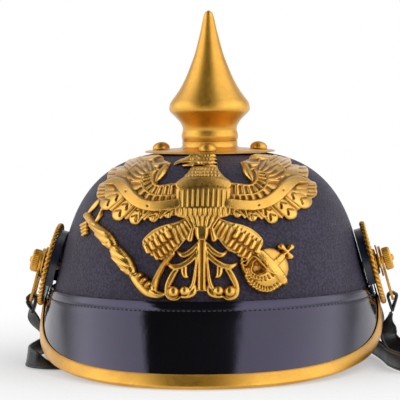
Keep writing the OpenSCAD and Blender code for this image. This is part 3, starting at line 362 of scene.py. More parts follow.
thread = new_finish("waxed_thread", (0.03, 0.027, 0.03), 0.5)
wax = noise(thread, object_place(thread), 2500.0)
bump_by(thread, wax, 0.4, 0.0002)
wire(thread, blend_of(thread, wax, (0.02, 0.018, 0.02), (0.06, 0.055, 0.058)), "Base Color")
for stitch_name, stitch_flap in (("front_visor_stitches", FRONT), ("rear_visor_stitches", REAR)):
    stitches = coat(stitch_row(stitch_name, stitch_flap), thread)
    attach(stitches, "helmet")

# Front visor edging: a strip of sheet brass folded over the visor's edge and pinched shut, its
# outer leg wider than the inner one.
TRIM_W, TRIM_T, LAY_GAP = 7.6, 0.9, 0.3


def brass(name="gilt_brass", worn=False, low=(0.6, 0.3, 0.035), high=(0.78, 0.42, 0.055), roughness=0.4):
    """Gilt brass with a satin polish, cloudy toning and fine scratches, its hollows darkened by toning and
    painted shade if asked.
    """
    material = new_finish(name, high, roughness, 1.0, Coat_Weight=0.4, Coat_Roughness=0.3)
    place = object_place(material)
    scratch = noise(material, place, 640.0, Detail=4.0, Distortion=0.6)
    colour = blend_of(material, noise(material, place, 34.0, Detail=7.0, Roughness=0.62), low, high)
    if worn:
        # Toning and painted shade: the hollow map darkens the base colour in the relief's hollows.
        toning_and_shade = add_node(material, "ShaderNodeAttribute", attribute_name="toning_and_shade")
        shade = add_node(material, "ShaderNodeMixRGB", {"Fac": toning_and_shade.outputs["Fac"], "Color1": colour},
                         Color2=(low[0] * 0.42, low[1] * 0.34, low[2] * 0.25, 1))
        colour = shade.outputs["Color"]
    wire(material, colour, "Base Color")
    wire(material, range_of(material, scratch, roughness - 0.05, roughness + 0.1), "Roughness")
    bump_by(material, scratch, 0.12, 0.0002)
    return material


def trim_place(a, d, h):
    """Place on the edging: d in from the visor's edge, h off the visor's inner face."""
    ends = [visor_at(a + da, 2 + 0 * a, 0 * a, FRONT) for da in (-0.5, 0.5)]
    run = ends[1] - ends[0]
    climb = np.maximum(0.55, np.hypot(run[..., 0], run[..., 1]) / np.linalg.norm(run, axis=-1))
    flat = np.linalg.norm(visor_at(a, 2 + 0 * a, 0 * a, FRONT) - visor_at(a, 1 + 0 * a, 0 * a, FRONT),
                          axis=-1)
    slide = d / climb
    s = np.where(slide <= flat, 2 - slide / flat, 1 - (slide - flat) / (SEAM_Z - FOLD_Z + 0.5))
    on_flap = visor_at(a, s.clip(0.05, 2), h, FRONT)
    tip = visor_at(a, 2 + 0 * a, h, FRONT)
    out = tip - visor_at(a, 1.9 + 0 * a, h, FRONT)
    beyond = tip - d[..., None] * out / np.linalg.norm(out, axis=-1, keepdims=True)
    return np.where((d >= 0)[..., None], on_flap, beyond)


def trim_rings(angles):
    rings = []
    for a in angles:
        ease = LAY_GAP * (1 + (abs(a) / VISOR_END) ** 12)
        top, low = VISOR_T + ease, -ease
        flat = np.linalg.norm(visor_at(np.array(a), np.array(2.0), np.array(0.0), FRONT)
                              - visor_at(np.array(a), np.array(1.0), np.array(0.0), FRONT))
        inner = min(0.8 * TRIM_W, max(0.4, flat * 0.8 - 0.8))
        section = [(TRIM_W - 0.15, top), (TRIM_W, top + 0.3 * TRIM_T), (TRIM_W - 0.3, top + 0.7 * TRIM_T),
                   (TRIM_W * 0.8, top + 0.95 * TRIM_T), (TRIM_W * 0.5, top + 1.15 * TRIM_T),
                   (TRIM_W * 0.22, top + 1.12 * TRIM_T), (0.6, top + TRIM_T), (0, top + 0.9 * TRIM_T),
                   (-0.55 * TRIM_T, top + 0.55 * TRIM_T), (-0.95 * TRIM_T, VISOR_T * 0.85),
                   (-1.1 * TRIM_T, VISOR_T * 0.5), (-0.95 * TRIM_T, VISOR_T * 0.15),
                   (-0.55 * TRIM_T, low - 0.5 * TRIM_T), (0, low - 0.95 * TRIM_T), (inner, low - TRIM_T),
                   (inner, low), (0, low), (0, top)]
        d, h = np.array([c[0] for c in section]), np.array([c[1] for c in section])
        rings.append(trim_place(np.full(len(d), a), d, h))
    rings = np.array(rings)
    rings[..., 2] = rings[..., 2].clip(0)
    return rings


gilt = brass()
trim = coat(grid_piece("front_visor_edging", trim_rings(stepped(181)), angle=50), gilt)
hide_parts("front_visor_trim")
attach(trim, "helmet")

# Rear spine: a brass strip down the back from the crown over the rear visor, with a slot for air
# and the slide that closes it. Its two domed studs hold it to the shell.
def softened(name, node, material, width=0.3, body="helmet", segments=2):
    """The CAD piece with its edges broken, as a file or a press leaves them."""
    source = next(o for o in bpy.data.objects if o.name == node or o.name.split(".")[0] == node)
    bpy.ops.object.select_all(action="DESELECT")
    piece = source.copy()
    piece.data = source.data.copy()
    piece.parent = None
    piece.matrix_world = Matrix.Identity(4)
    piece.name = piece.data.name = name
    bpy.context.collection.objects.link(piece)
    piece.select_set(True)
    bpy.context.view_layer.objects.active = piece
    edit_all((bpy.ops.mesh.remove_doubles, dict(threshold=1e-6)),
             (bpy.ops.mesh.dissolve_limited, dict(angle_limit=math.radians(1.0))))
    edge = piece.modifiers.new("edge", "BEVEL")
    edge.width, edge.segments, edge.limit_method = width * MM, segments, "ANGLE"
    edge.angle_limit = math.radians(35)
    bpy.ops.object.modifier_apply(modifier=edge.name)
    bpy.ops.object.shade_smooth_by_angle(angle=math.radians(40))
    coat(piece, material)
    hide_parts(node)
    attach(piece, body)
    return piece


softened("rear_spine_strip", "rear_spine", gilt, 0.25)
softened("vent_slide", "vent_shutter", gilt, 0.2, body="vent_shutter")

# Base plate, its studs and the spike: brass spun and turned on a lathe. The plate's low cone runs
# up to the collar, and the spike's spigot stands in the collar.
BASE_R, BASE_RIM_Z, BASE_T, COLLAR_R, JOINT_Z = 44.0, 140.4, 1.2, 18.7, 148.0
CONE_TOP_Z, SPIKE_R, SPIKE_H, SPIKE_BORE_R, SPIKE_BORE_H = 143.5, 27.3, 88.0, 14.9, 9.0


def smooth_line(points, steps):
    """A smooth curve through points, with even steps between them."""
    points = np.asarray(points, float)
    last = len(points) - 1
    t = np.linspace(0, last, steps + 1)
    i = np.minimum(last - 1, t.astype(int))
    f = (t - i)[:, None]
    a, b, c, d = points[np.maximum(0, i - 1)], points[i], points[i + 1], points[np.minimum(last, i + 2)]
    bend, twist = 2 * a - 5 * b + 4 * c - d, 3 * b - a - 3 * c + d
    return 0.5 * (2 * b + (c - a) * f + bend * f ** 2 + twist * f ** 3)


base_profile = [(BASE_R, BASE_RIM_Z + 0.15), (BASE_R, BASE_RIM_Z + 0.8), (BASE_R - 0.35, BASE_RIM_Z + 1.1),
                (BASE_R - 1.2, BASE_RIM_Z + 1.25), (COLLAR_R + 3.4, CONE_TOP_Z - 0.25),
                (COLLAR_R + 1.5, CONE_TOP_Z), (COLLAR_R + 0.5, CONE_TOP_Z + 0.4),
                (COLLAR_R, CONE_TOP_Z + 1.2), (COLLAR_R, JOINT_Z - 0.3), (COLLAR_R - 0.3, JOINT_Z),
                (COLLAR_R - BASE_T, JOINT_Z),
                (COLLAR_R - BASE_T, CROWN_Z + 0.3), (COLLAR_R + 3, CROWN_Z + 0.3),
                (COLLAR_R + 3, CROWN_Z + 0.7), (BASE_R - 1, BASE_RIM_Z + 0.05)]
base = coat(turned("base_plate_spun", base_profile, steps=160), gilt)
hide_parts("base_plate")
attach(base, "helmet")

# The spike's side: [share of its widest radius, height over the collar]
spike_side = [(0.68, 0.3), (0.703, 3), (0.69, 5.2), (0.67, 7.7), (0.69, 10.5), (0.77, 14), (0.905, 17.8),
              (0.975, 19.8), (1, 22), (0.967, 26), (0.857, 30.2), (0.752, 34.3), (0.665, 38.4), (0.588, 42.5),
              (0.525, 46.5), (0.465, 50.6), (0.355, 58.7), (0.273, 66.8), (0.198, 74.9), (0.135, 83),
              (0.09, 86.6)]
side = smooth_line(spike_side, 150) * (SPIKE_R, 1) + (0, JOINT_Z)
tip = [(1.9 * math.cos(b), JOINT_Z + 86.3 + 1.7 * math.sin(b)) for b in np.radians((35, 60, 78))]
bore = [(0, JOINT_Z + SPIKE_BORE_H), (SPIKE_BORE_R, JOINT_Z + SPIKE_BORE_H), (SPIKE_BORE_R, JOINT_Z + 0.3)]
spike = turned("spike_turned", bore + [tuple(p) for p in side] + tip + [(0, JOINT_Z + SPIKE_H)], steps=160)
coat(spike, brass("turned_brass"))
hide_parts("spike")
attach(spike, "spike")

STUD_RING, STUD_R, STUD_RISE, SHANK_R, SHANK_FOOT_Z = 33.0, 5.9, 0.72, 1.5, 130.8


def domed_stud(name, radius, rise, foot, shank_r, shank):
    """One domed stud on the axis, its head sitting at height 0."""
    arc = [(radius * math.cos(b), foot + rise * math.sin(b)) for b in np.linspace(0, math.pi / 2, 10)]
    return turned(name, [(0, -shank), (shank_r, -shank), (shank_r, 0), (radius * 0.96, 0),
                         (radius, foot * 0.4)] + arc[:-1] + [(0, foot + rise)], steps=48)


def joined(name, pieces):
    bpy.ops.object.select_all(action="DESELECT")
    for piece in pieces:
        piece.select_set(True)
    bpy.context.view_layer.objects.active = pieces[0]
    bpy.ops.object.join()
    piece = bpy.context.object
    piece.name = piece.data.name = name
    return piece


plate_lean = math.atan((CONE_TOP_Z - BASE_RIM_Z - BASE_T) / (BASE_R - COLLAR_R - 4.5))
stud_top = BASE_RIM_Z + BASE_T + math.tan(plate_lean) * (BASE_R - 1 - STUD_RING) + 0.15
studs = []
for quarter in range(4):
    stud = domed_stud("stud", STUD_R, STUD_R * STUD_RISE, 0.6, SHANK_R, stud_top - SHANK_FOOT_Z)
    stud.data.transform(Matrix.Rotation(quarter * math.pi / 2, 4, "Z")
                        @ Matrix.Translation(Vector((STUD_RING, 0, stud_top)) * MM)
                        @ Matrix.Rotation(plate_lean, 4, "Y"))
    studs.append(stud)
base_studs = coat(joined("base_studs_domed", studs), gilt)
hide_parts("base_studs")
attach(base_studs, "helmet")

# Eagle plate: one sheet of brass struck between dies into a spread eagle, gilt, with toning and painted
# shade darkening its hollows. Its relief is worked out as heights over the leather, then laid on the shell.
STEP, LEFT_X, RIGHT_X, FOOT_Z, TOP_Z = 0.33, -84.0, 75.5, 50.0, 141.6
X, Z = np.meshgrid(np.arange(LEFT_X, RIGHT_X, STEP), np.arange(FOOT_Z, TOP_Z, STEP))
relief = np.zeros_like(X)
inside = np.full_like(X, -5.0)
SHEET, LEAVE_Z, LEAVE_SLOPE, EDGE_SLACK, TURNED_H = 1.0, 136.0, 1.8, 0.22, 0.3


# Cross forms of a stroke: u is how far off its middle a place lies as a share of the half width w,
# d is the same in millimetres, and along is the way from the stroke's start
def dome(u, d, along, w):
    return np.sqrt((1 - u ** 2).clip(0))


def ridge(u, d, along, w):
    return (1 - u) ** 0.8


def flat(u, d, along, w):
    return ((w - d) / 0.55).clip(0, 1)


def rolled(u, d, along, w):
    """A flat band with a fine groove inside each of its edges."""
    return ((w - d) / 0.5).clip(0, 1) - 0.2 * np.exp(-((w - d - 1.25) / 0.33) ** 2)


def rounded(u, d, along, w):
    """A broad feather, flat along the middle and rounded off at its sides."""
    return (1 - u ** 2.6).clip(0) ** 0.45


def grooved(u, d, along, w):
    return rounded(u, d, along, w) - 0.34 * np.exp(-(d / 0.45) ** 2)


def feathered(u, d, along, w):
    """A crowned feather with its quill and slanting barbs."""
    barbs = 0.5 + 0.5 * np.cos(2 * math.pi * (along - 0.95 * d) / 1.25)
    return (0.72 * np.sqrt((1 - u ** 2).clip(0)) + 0.2 * np.exp(-(d / 0.3) ** 2) + 0.08
            - 0.17 * barbs * (1 - u ** 4) * (1 - np.exp(-(d / 0.5) ** 2)))


def off_line(x, z, a, b):
    """How far along the line from a to b a place lies, as a share, and how far off the line."""
    (ax, az), (bx, bz) = a, b
    t = ((x - ax) * (bx - ax) + (z - az) * (bz - az)) / ((bx - ax) ** 2 + (bz - az) ** 2 + 1e-18)
    t = t.clip(0, 1)
    return t, np.hypot(x - ax - t * (bx - ax), z - az - t * (bz - az))


def ways(a, b):
    """Unit steps along and across the line from a to b."""
    run = np.subtract(b, a) / np.linalg.norm(np.subtract(b, a))
    return run, np.array((-run[1], run[0]))


def stroke(line, form=dome, per_span=6, edge=SHEET):
    """Raises a strip along a line of [x, z, half width, height] to a cross form."""
    curve = smooth_line(line, per_span * (len(line) - 1))
    along = 0.0
    for (ax, az, aw, ah), (bx, bz, bw, bh) in zip(curve[:-1], curve[1:]):
        reach = max(aw, bw) + 1.0
        c0, c1 = (int((v - LEFT_X) / STEP) for v in (min(ax, bx) - reach, max(ax, bx) + reach + STEP))
        r0, r1 = (int((v - FOOT_Z) / STEP) for v in (min(az, bz) - reach, max(az, bz) + reach + STEP))
        win = (slice(max(0, r0), max(0, r1 + 1)), slice(max(0, c0), max(0, c1 + 1)))
        t, d = off_line(X[win], Z[win], (ax, az), (bx, bz))
        span = math.hypot(bx - ax, bz - az)
        w = np.maximum(0.05, aw + (bw - aw) * t)
        h = edge + (ah + (bh - ah) * t - edge) * form((d / w).clip(0, 1), d, along + t * span, w)
        relief[win] = np.where(d <= w, np.maximum(relief[win], h), relief[win])
        inside[win] = np.maximum(inside[win], w - d)
        along += span


def pair(line, form=dome, per_span=6, edge=SHEET):
    """A stroke and its mirror image."""
    stroke(line, form, per_span, edge)
    stroke([(-x, z, w, h) for x, z, w, h in line], form, per_span, edge)


def dot(x, z, r, rise):
    """A round pearl that stands on the relief under it."""
    c, q, n = int(round((x - LEFT_X) / STEP)), int(round((z - FOOT_Z) / STEP)), int(r / STEP) + 2
    win = (slice(max(0, q - n), q + n + 1), slice(max(0, c - n), c + n + 1))
    u = np.hypot(X[win] - x, Z[win] - z) / r
    pearl = relief[q, c] + rise * np.sqrt((1 - u ** 2).clip(0))
    relief[win] = np.where(u < 1, np.maximum(relief[win], pearl), relief[win])


def ground(outline, height=1.6):
    """Lays sheet of an even height inside a closed outline of [x, z], and inside its mirror image."""
    for flip in (1, -1):
        x, within, nearest = X * flip, np.zeros(X.shape, bool), np.full(X.shape, 99.0)
        for (ax, az), (bx, bz) in zip(outline, outline[1:] + outline[:1]):
            nearest = np.minimum(nearest, off_line(x, Z, (ax, az), (bx, bz))[1])
            within ^= ((az > Z) != (bz > Z)) & (x < ax + (Z - az) * (bx - ax) / (bz - az + 1e-9))
        relief[within] = np.maximum(relief, height)[within]
        inside[:] = np.maximum(inside, np.where(within, nearest, -nearest))


def cut(start, end, half, depth):
    """Presses a short groove from one place to another into both wings."""
    for flip in (1, -1):
        d = off_line(X * flip, Z, start, end)[1]
        relief[:] -= depth * np.sqrt((1 - (d / half) ** 2).clip(0))


def between(lines, form, low, high, share=0.86):
    """Feathers in the spaces between neighbouring lines, each line given by its two ends."""
    for (a0, a1), (b0, b1) in zip(lines[:-1], lines[1:]):
        path = []
        for t in (0.1, 0.5, 0.92):
            left, right = (np.array(p) + (np.array(q) - np.array(p)) * t for p, q in ((a0, a1), (b0, b1)))
            path.append((*(left + right) / 2, np.linalg.norm(right - left) / 2 * share,
                         low + (high - low) * t))
        pair(path, form)


def blade(root, tip, root_w, tip_w, root_h, mid_h, tip_h=3.3):
    """Lays a broad feather on both wings, and gives its ends and the ways along and across it."""
    root, tip = np.array(root), np.array(tip)
    mid = (*(root + tip) / 2, (root_w + tip_w) / 2, mid_h)
    pair([(*root, root_w, root_h), mid, (*tip, tip_w, tip_h)], rounded)
    return root, tip, *ways(root, tip)


# The wing's sheet, with its two points that curl in over the wrist and its scalloped outer edge
ground([(15.5, 123.2), (21.3, 122.7), (26.4, 121.9), (29.2, 121.9), (29.8, 123.8), (26.3, 128.4), (23.6, 133),
        (22.6, 135.3), (25.4, 136.2), (27.6, 136.9), (28.4, 138.7), (31, 139.5), (35.7, 139.4), (41, 138.5),
        (47.4, 137.4), (51.2, 136), (53.6, 134.2), (54.6, 132.6), (57.6, 132.2), (61.9, 130.6), (64.2, 128.7),
        (65.5, 126.2), (65, 124.2), (66.6, 122.6), (68.8, 121.2), (70.6, 118.8), (70.6, 115.8), (68.6, 113),
        (66.6, 110), (63, 106.6), (60, 105.6), (57, 103), (50.6, 101.6), (46, 100.4), (38.2, 100.8),
        (33, 101.4), (26.4, 102), (20, 103.4), (15.5, 103.6)])

# Long outer feathers: [root, tip, half width at root, half width at tip], each with two pressed
# chevrons, or one on the shortest, and a narrow rib between neighbours
outer_feathers = [((19.4, 107.4), (21.8, 104.0), 2.0, 2.3), ((27, 106.4), (31.1, 102.2), 2.7, 3.0),
                  ((37.4, 107.6), (43.2, 101), 3.3, 3.7), ((46.6, 111.2), (54.8, 103.2), 3.5, 4.0),
                  ((53.2, 116.2), (63.8, 109.6), 3.2, 4.2)]
for root, tip, root_w, tip_w in outer_feathers:
    root, tip, run, side = blade(root, tip, root_w, tip_w, 2.9, 3.2)
    for share in (0.14, 0.66) if root_w > 2.2 else (0.4,):
        apex = root + (tip - root) * share
        for lean in (1, -1):
            cut(apex + side * lean * 0.3, apex + run * 2.7 + side * lean * tip_w * 0.55, 0.55, 1.25)
ribs = [((22.8, 106), (26.2, 101.9)), ((31.8, 105.4), (36.6, 100.8)), ((33.6, 105.8), (38, 101.8)),
        ((42, 107.9), (48.8, 101)), ((44, 109), (50.4, 102.8)), ((50.6, 113.4), (59.4, 106))]
for (ax, az), (bx, bz) in ribs:
    pair([(ax, az, 0.75, 3.3), ((ax + bx) / 2, (az + bz) / 2, 0.8, 3.4), (bx, bz, 0.75, 3.1)])
# Where the ribbon runs out, the feathers turn up and lie over each other as grooved shells
shells = [((58.2, 116.4), (67.4, 115.2), 2.0, 3.7, 3), ((58.8, 119), (67.4, 118.4), 1.6, 3.4, 2),
          ((52.4, 128.4), (61.2, 127.2), 2.8, 4.0, 3), ((46.8, 131.6), (50.4, 133), 3.0, 3.5, 3),
          ((40.4, 134.4), (43, 135.6), 2.8, 2.9, 2)]
for root, tip, root_w, tip_w, grooves in shells:
    root, tip, run, side = blade(root, tip, root_w, tip_w, 2.8, 3.1)
    for k in range(grooves):
        shift = side * (k - (grooves - 1) / 2) * tip_w * 0.56
        cut(tip - run * 2.8 + shift, tip + run * tip_w * 0.5 + shift, 0.6, 1.4)

# Long coverts: raised quills that fan out from the rim of the short ones to the ribbon
long_lines = [((17.2, 116), (17.3, 113.6)), ((20.5, 115.6), (20.6, 113)), ((24.2, 115.4), (24.7, 112.6)),
              ((28, 115.4), (28.9, 112.4)), ((31.8, 116), (33.4, 112.6)), ((35.4, 118), (38.2, 113.8)),
              ((38.2, 120.6), (42.8, 116.8)), ((39.8, 122.6), (46.6, 121.4))]
between(long_lines, rounded, 2.6, 2.9, 0.8)
quills = [((39.6, 123.3), (46.2, 123.5), 0.5), ((39.4, 124.7), (49, 126.7), -0.8),
          ((39.2, 126.6), (47.6, 129.6), -0.8), ((38.2, 128.6), (44.6, 131.9), -0.7),
          ((36.4, 130.2), (41.4, 134), -0.6), ((34, 131), (37.2, 135.4), -0.5),
          ((31.8, 131.6), (33.4, 136.2), -0.3)]
for (ax, az), (bx, bz), rise in quills:
    bow = np.array(((ax + bx) / 2 - rise * 0.3, (az + bz) / 2 + rise))
    pair([(ax, az, 0.85, 3.0), (*bow, 1.0, 3.5), (bx, bz, 0.9, 3.6)], ridge)
pair([(48.6, 125.8, 0.8, 3.6), (49.6, 128.2, 0.8, 3.8), (47.8, 131.2, 0.8, 3.7), (43.8, 134, 0.8, 3.5)])

# Short coverts round the wrist, between the wing's inner edge and a raised rim
short_lines = [((18.6, 122.3), (18.9, 116.9)), ((22.4, 121.8), (23.2, 116.7)), ((25.7, 121.4), (27.2, 116.4)),
               ((28.9, 121.3), (31.4, 117.1)), ((31, 122), (34.8, 118.8)), ((32.3, 123.8), (37.1, 121)),
               ((32.8, 125.6), (38.4, 124)), ((32.9, 127.4), (38.4, 126.3)), ((32.8, 128.9), (37.4, 128))]
between(short_lines, flat, 3.0, 3.4, 0.72)
pair([(17.2, 116.3, 0.7, 3.7), (21.6, 115.8, 0.7, 3.9), (28.5, 115.8, 0.7, 4.0), (32.1, 116.4, 0.7, 4.0),
      (35.7, 118.4, 0.7, 4.1), (37.9, 120.8, 0.7, 4.1), (39, 123.6, 0.7, 4.1), (38.8, 126.6, 0.7, 4.1),
      (37, 128.4, 0.7, 4.0), (33.4, 129.6, 0.7, 3.8)])
pair([(16.6, 122.8, 0.7, 3.6), (21.3, 122.2, 0.75, 3.8), (26.4, 121.5, 0.75, 3.9), (29.8, 121.8, 0.75, 4.0),
      (31.8, 123.6, 0.75, 4.1), (32.7, 126.2, 0.75, 4.1), (32.6, 128.8, 0.75, 4.0), (30.6, 131.2, 0.7, 3.8),
      (28.6, 131, 0.7, 3.6)])
# The wrist: a leaf up the inner edge, and the two points over it
pair([(30, 124.2, 0.5, 3.4), (28.4, 127, 1.7, 4.6), (26.2, 130.4, 1.9, 4.6), (24.8, 133.2, 1.0, 3.8)],
     rounded)
pair([(22.9, 135.1, 0.4, 3.0), (26, 134.4, 1.4, 4.0), (29.6, 133.6, 1.9, 4.3), (33, 134, 1.2, 3.8)], ridge)
pair([(28.8, 138.5, 0.4, 2.8), (32, 137.8, 1.2, 3.6), (36, 137, 1.7, 3.6), (41, 136.6, 1.2, 3.2)], ridge)

# The ribbon over both wings, plain, with a pin at two places on each side
ribbon = [(16.6, 110.8, 3.2), (24, 109.7, 3.3), (31, 109.3, 3.4), (37, 110.2, 3.55), (41.6, 112.2, 3.75),
          (45.8, 115.3, 3.9), (50, 119.3, 3.9), (53.6, 122.3, 3.4), (57.4, 123.6, 2.5), (61, 122.8, 1.9),
          (65.2, 121.9, 0.9)]
pair([(x, z, w, 4.3) for x, z, w in ribbon], rolled)
for x, z in ((33.6, 109.2), (48.4, 117.8)):
    cut((x, z), (x + 0.05, z), 0.6, 0.9)

# The body: a smooth core under a breast of tall feathers, a row of short ones and a fan to the tail
torso_z = np.array([95.0, 98, 101.4, 102.8, 104.4, 108, 118, 122.6, 125, 127, 130, 133])
torso_w = np.array([4.4, 8.0, 10.6, 15.6, 17.0, 17.2, 17.4, 17.4, 15.8, 12.6, 9.8, 7.8])
torso_h = np.array([3.0, 3.6, 4.0, 4.2, 4.4, 4.7, 4.9, 4.9, 4.9, 4.8, 4.6, 4.4])


def core_height(x, z):
    u = (np.abs(x) / np.interp(z, torso_z, torso_w)).clip(0, 1)
    return SHEET + (np.interp(z, torso_z, torso_h) - SHEET) * (1 - u ** 2).clip(0) ** 0.35


mask = (Z > 95) & (Z < 133) & (np.abs(X) < np.interp(Z, torso_z, torso_w))
relief[mask] = np.maximum(relief, core_height(X, Z))[mask]
inside[mask] = np.maximum(inside, np.interp(Z, torso_z, torso_w) - np.abs(X))[mask]
PLUME_PITCH = 2.95
for k in range(-5, 6):
    x = k * PLUME_PITCH
    rise = float(core_height(x, 114)) + 0.75
    stroke([(x, 119.6 - (x / 17) ** 2 * 2, 1.2, rise), (x, 114, 1.25, rise), (x, 109.3, 1.2, rise)],
           feathered)
for k in range(-6, 6):
    x = (k + 0.5) * PLUME_PITCH
    rise = float(core_height(x, 107)) + 0.9
    stroke([(x, 107.4, 1.25, rise), (x, 105.4, 1.15, rise + 0.2), (x, 103.6, 0.5, rise)], rounded)
for k in range(-3, 4):
    x = k * PLUME_PITCH
    rise = float(core_height(x * 0.8, 101)) + 1.1
    stroke([(x * 1.15, 103.4, 1.0, rise), (x * 0.9, 99.6, 1.05, rise), (x * 0.66, 95.8, 0.75, rise)], rounded)
# Its smooth collar, and the beaded neck over it
stroke([(x, 124.1 - (x / 16.2) ** 2 * 2.3, 2.9, 5.6 - (x / 14.4) ** 2) for x in np.linspace(-14.4, 14.4, 9)],
       rolled)
for row in range(4):
    z, reach = 128.0 + 1.8 * row, 10.6 - 1.2 * row
    for x in np.arange(-reach + 0.6 * (row % 2), reach + 0.1, 2.15):
        dot(x, z, 0.85, 0.85)

# The head looks to its right, with brow, eye and the two halves of the beak
stroke([(-7.2, 136.9, 3.2, 4.6), (-2.6, 137.0, 3.3, 5.4), (2.6, 136.4, 3.4, 4.9)], rounded)
stroke([(-9, 137.2, 2.0, 4.9), (-11.6, 136.8, 1.5, 4.7)])
stroke([(-9.4, 136.6, 1.5, 5.4), (-13.2, 136.3, 1.25, 4.9), (-16.8, 135.6, 0.85, 4.0),
        (-19.4, 134.4, 0.4, 3.0)])
stroke([(-7.6, 133.8, 0.9, 4.8), (-11, 133.7, 0.85, 4.2), (-13.8, 133.6, 0.5, 3.2)])
stroke([(-9.6, 138.3, 0.55, 5.6), (-6.4, 138.6, 0.65, 6.0), (-2.8, 137.8, 0.4, 5.6)])
dot(-6.8, 137.0, 0.8, 0.7)
for z, reach in ((138.7, 6.4), (137, 7.2), (135.2, 7.6), (133.4, 7.9)):
    stroke([(2.6, z - 0.3, 1.0, 5.6), (5, z, 0.85, 5.4), (reach, z - 0.5, 0.3, 4.4)], ridge)
for row in range(3):
    for k in range(4):
        x, z = -3.4 + 1.7 * k - 0.4 * row, 138.8 - 1.7 * row
        stroke([(x, z, 0.5, 5.9), (x + 1.3, z - 0.5, 0.6, 6.2)], per_span=2)

# Tail root: a framed panel between two blunt feathers, under the fan of the tail
for x, tip_x in ((1.6, 0.9), (4.8, 2.6), (7.6, 4.6)):
    pair([(x, 101.5, 0.8, 4.4), ((x + tip_x) / 2 + 0.4, 98.6, 1.1, 5.2), (tip_x + 0.4, 95.6, 0.8, 5.0)],
         grooved)
pair([(5.4, 97.4, 1.3, 4.2), (6.4, 92.6, 1.9, 4.9), (7.4, 89.2, 2.3, 4.6)], rounded)
stroke([(0, 93.6, 4.1, 5.2), (0, 92, 4.0, 5.2)], flat)
for x in (-3.2, 3.2):
    stroke([(x, 96, 1.0, 6.2), (x * 0.98, 92.2, 1.0, 6.2), (x * 0.74, 89.2, 0.8, 5.6)], rounded)

# Under it two pairs of pipes splay into blunt feet, with curls, leaf, scroll and balls at each side
stroke([(0, 87.6, 1.6, 2.6), (0, 59, 1.8, 2.6)], flat)
pair([(1.6, 88.2, 0.95, 4.2), (1.45, 80, 1.1, 4.2), (1.45, 72, 1.15, 4.2), (1.6, 58.8, 1.3, 4.3)])
pair([(2.2, 86, 0.7, 3.4), (3.0, 79, 1.1, 3.9), (3.7, 72, 1.25, 4.0), (5.1, 62, 1.7, 4.3),
      (8.6, 55.2, 1.7, 4.4)])
pair([(4.8, 60.4, 1.9, 3.2), (5.8, 56.8, 3.1, 4.0), (8.4, 54.7, 2.6, 3.9), (11.8, 53.6, 1.4, 3.4)], rounded)
stroke([(-2.2, 57.5, 0.9, 4.4), (2.2, 57.5, 0.9, 4.4)], flat)
pair([(2.4, 86.8, 1.0, 3.6), (5.6, 82.8, 1.8, 4.2), (9.2, 80, 2.0, 4.4), (12.4, 79.3, 1.8, 4.2),
      (15.4, 81.4, 0.5, 2.8)], grooved)
pair([(2.8, 81.6, 1.2, 3.6), (5.8, 77.4, 2.0, 4.2), (9.8, 74.2, 2.2, 4.4), (14, 72.2, 2.2, 4.4),
      (18, 72, 2.1, 4.2), (21.8, 74, 0.5, 2.8)], grooved)
pair([(14.3, 71.4, 1.4, 3.4), (17.2, 68.2, 2.2, 4.1), (19.3, 64.4, 2.4, 4.2), (21, 60.6, 2.1, 4.1),
      (21.8, 56.8, 1.5, 3.9), (20.9, 53.7, 1.3, 3.8), (18.3, 52.2, 1.2, 3.7), (15.4, 52.3, 1.1, 3.6),
      (13.2, 53.8, 0.8, 3.4)], grooved)
pair([(10.6, 73, 1.9, 3.4), (10.9, 69.2, 2.3, 4.4), (10.2, 66.6, 1.9, 4.2), (8.7, 65.6, 0.9, 3.2)], rounded)
for x, z, r in ((10.3, 57.1, 3.3), (17.2, 56.5, 3.7)):
    pair([(x, z, r, 6.3), (x, z + 0.1, r, 6.3)], edge=2.4)

# Thighs: a padded sheet under three lanes of square feathers and a group of long ones by the body
ground([(10.6, 101.7), (17.1, 98.8), (24.1, 97.3), (30.4, 94.4), (36.2, 88.9), (37.5, 86.4), (36.8, 83.5),
        (31.4, 78.4), (25, 75.9), (20, 80), (16.3, 81.6), (14.2, 83.7), (9.2, 89.8), (7.1, 95.8)], 3.3)
lanes = [((36.9, 85.7), (18.6, 97.6), 0.55, 8, 3.8, 4.4), ((35.4, 81.4), (19.4, 93.4), 1.75, 5, 4.2, 5.6),
         ((29.6, 77.4), (16.2, 87.4), 1.75, 5, 4.1, 5.4)]
for outer_end, inner_end, half, count, low, high in lanes:
    lane = np.subtract(inner_end, outer_end)
    pitch = np.linalg.norm(lane) / count
    lean = np.array((-0.56, -0.83)) * half
    for k in range(count):
        spot = outer_end + lane * (k + 0.5) / count
        pair([(*(spot - lean), pitch * 0.44, low), (*(spot + lean), pitch * 0.46, high)], flat, per_span=3)
        spot = spot + lane / count * 0.14
        pair([(*(spot - lean), pitch * 0.2, low + 0.6), (*(spot + lean), pitch * 0.22, high + 0.7)],
             per_span=3)
long_ones = [((17.4, 95.6), (14.8, 87.2), 1.15), ((14.7, 97), (11.6, 89.4), 1.15),
             ((12.4, 98.4), (9.4, 92.2), 1.0), ((10.4, 100), (7.8, 95.4), 0.9)]
for (ax, az), (bx, bz), w in long_ones:
    pair([(ax, az, w * 0.8, 4.0), ((ax + bx) / 2, (az + bz) / 2, w, 4.8), (bx, bz, w * 0.9, 4.6)], rounded)
pair([(10.6, 101.2, 0.6, 3.8), (17.1, 98.9, 0.6, 4.0), (24.1, 97.1, 0.6, 4.0), (30.2, 94.2, 0.6, 4.0),
      (35.9, 88.8, 0.6, 4.0), (37, 86.2, 0.5, 3.6)])

# Orb under the one foot: a ball with a broad girdle, a half hoop and a cross with widening arms
ORB, ORB_R, ORB_TILT, ORB_RISE = np.array((40.2, 69.6)), 13.2, math.radians(38), 6.0
stroke([(*ORB, ORB_R, SHEET + ORB_RISE), (ORB[0], ORB[1] + 0.05, ORB_R, SHEET + ORB_RISE)])
up = np.array((math.cos(ORB_TILT), math.sin(ORB_TILT)))
across = np.array((up[1], -up[0]))


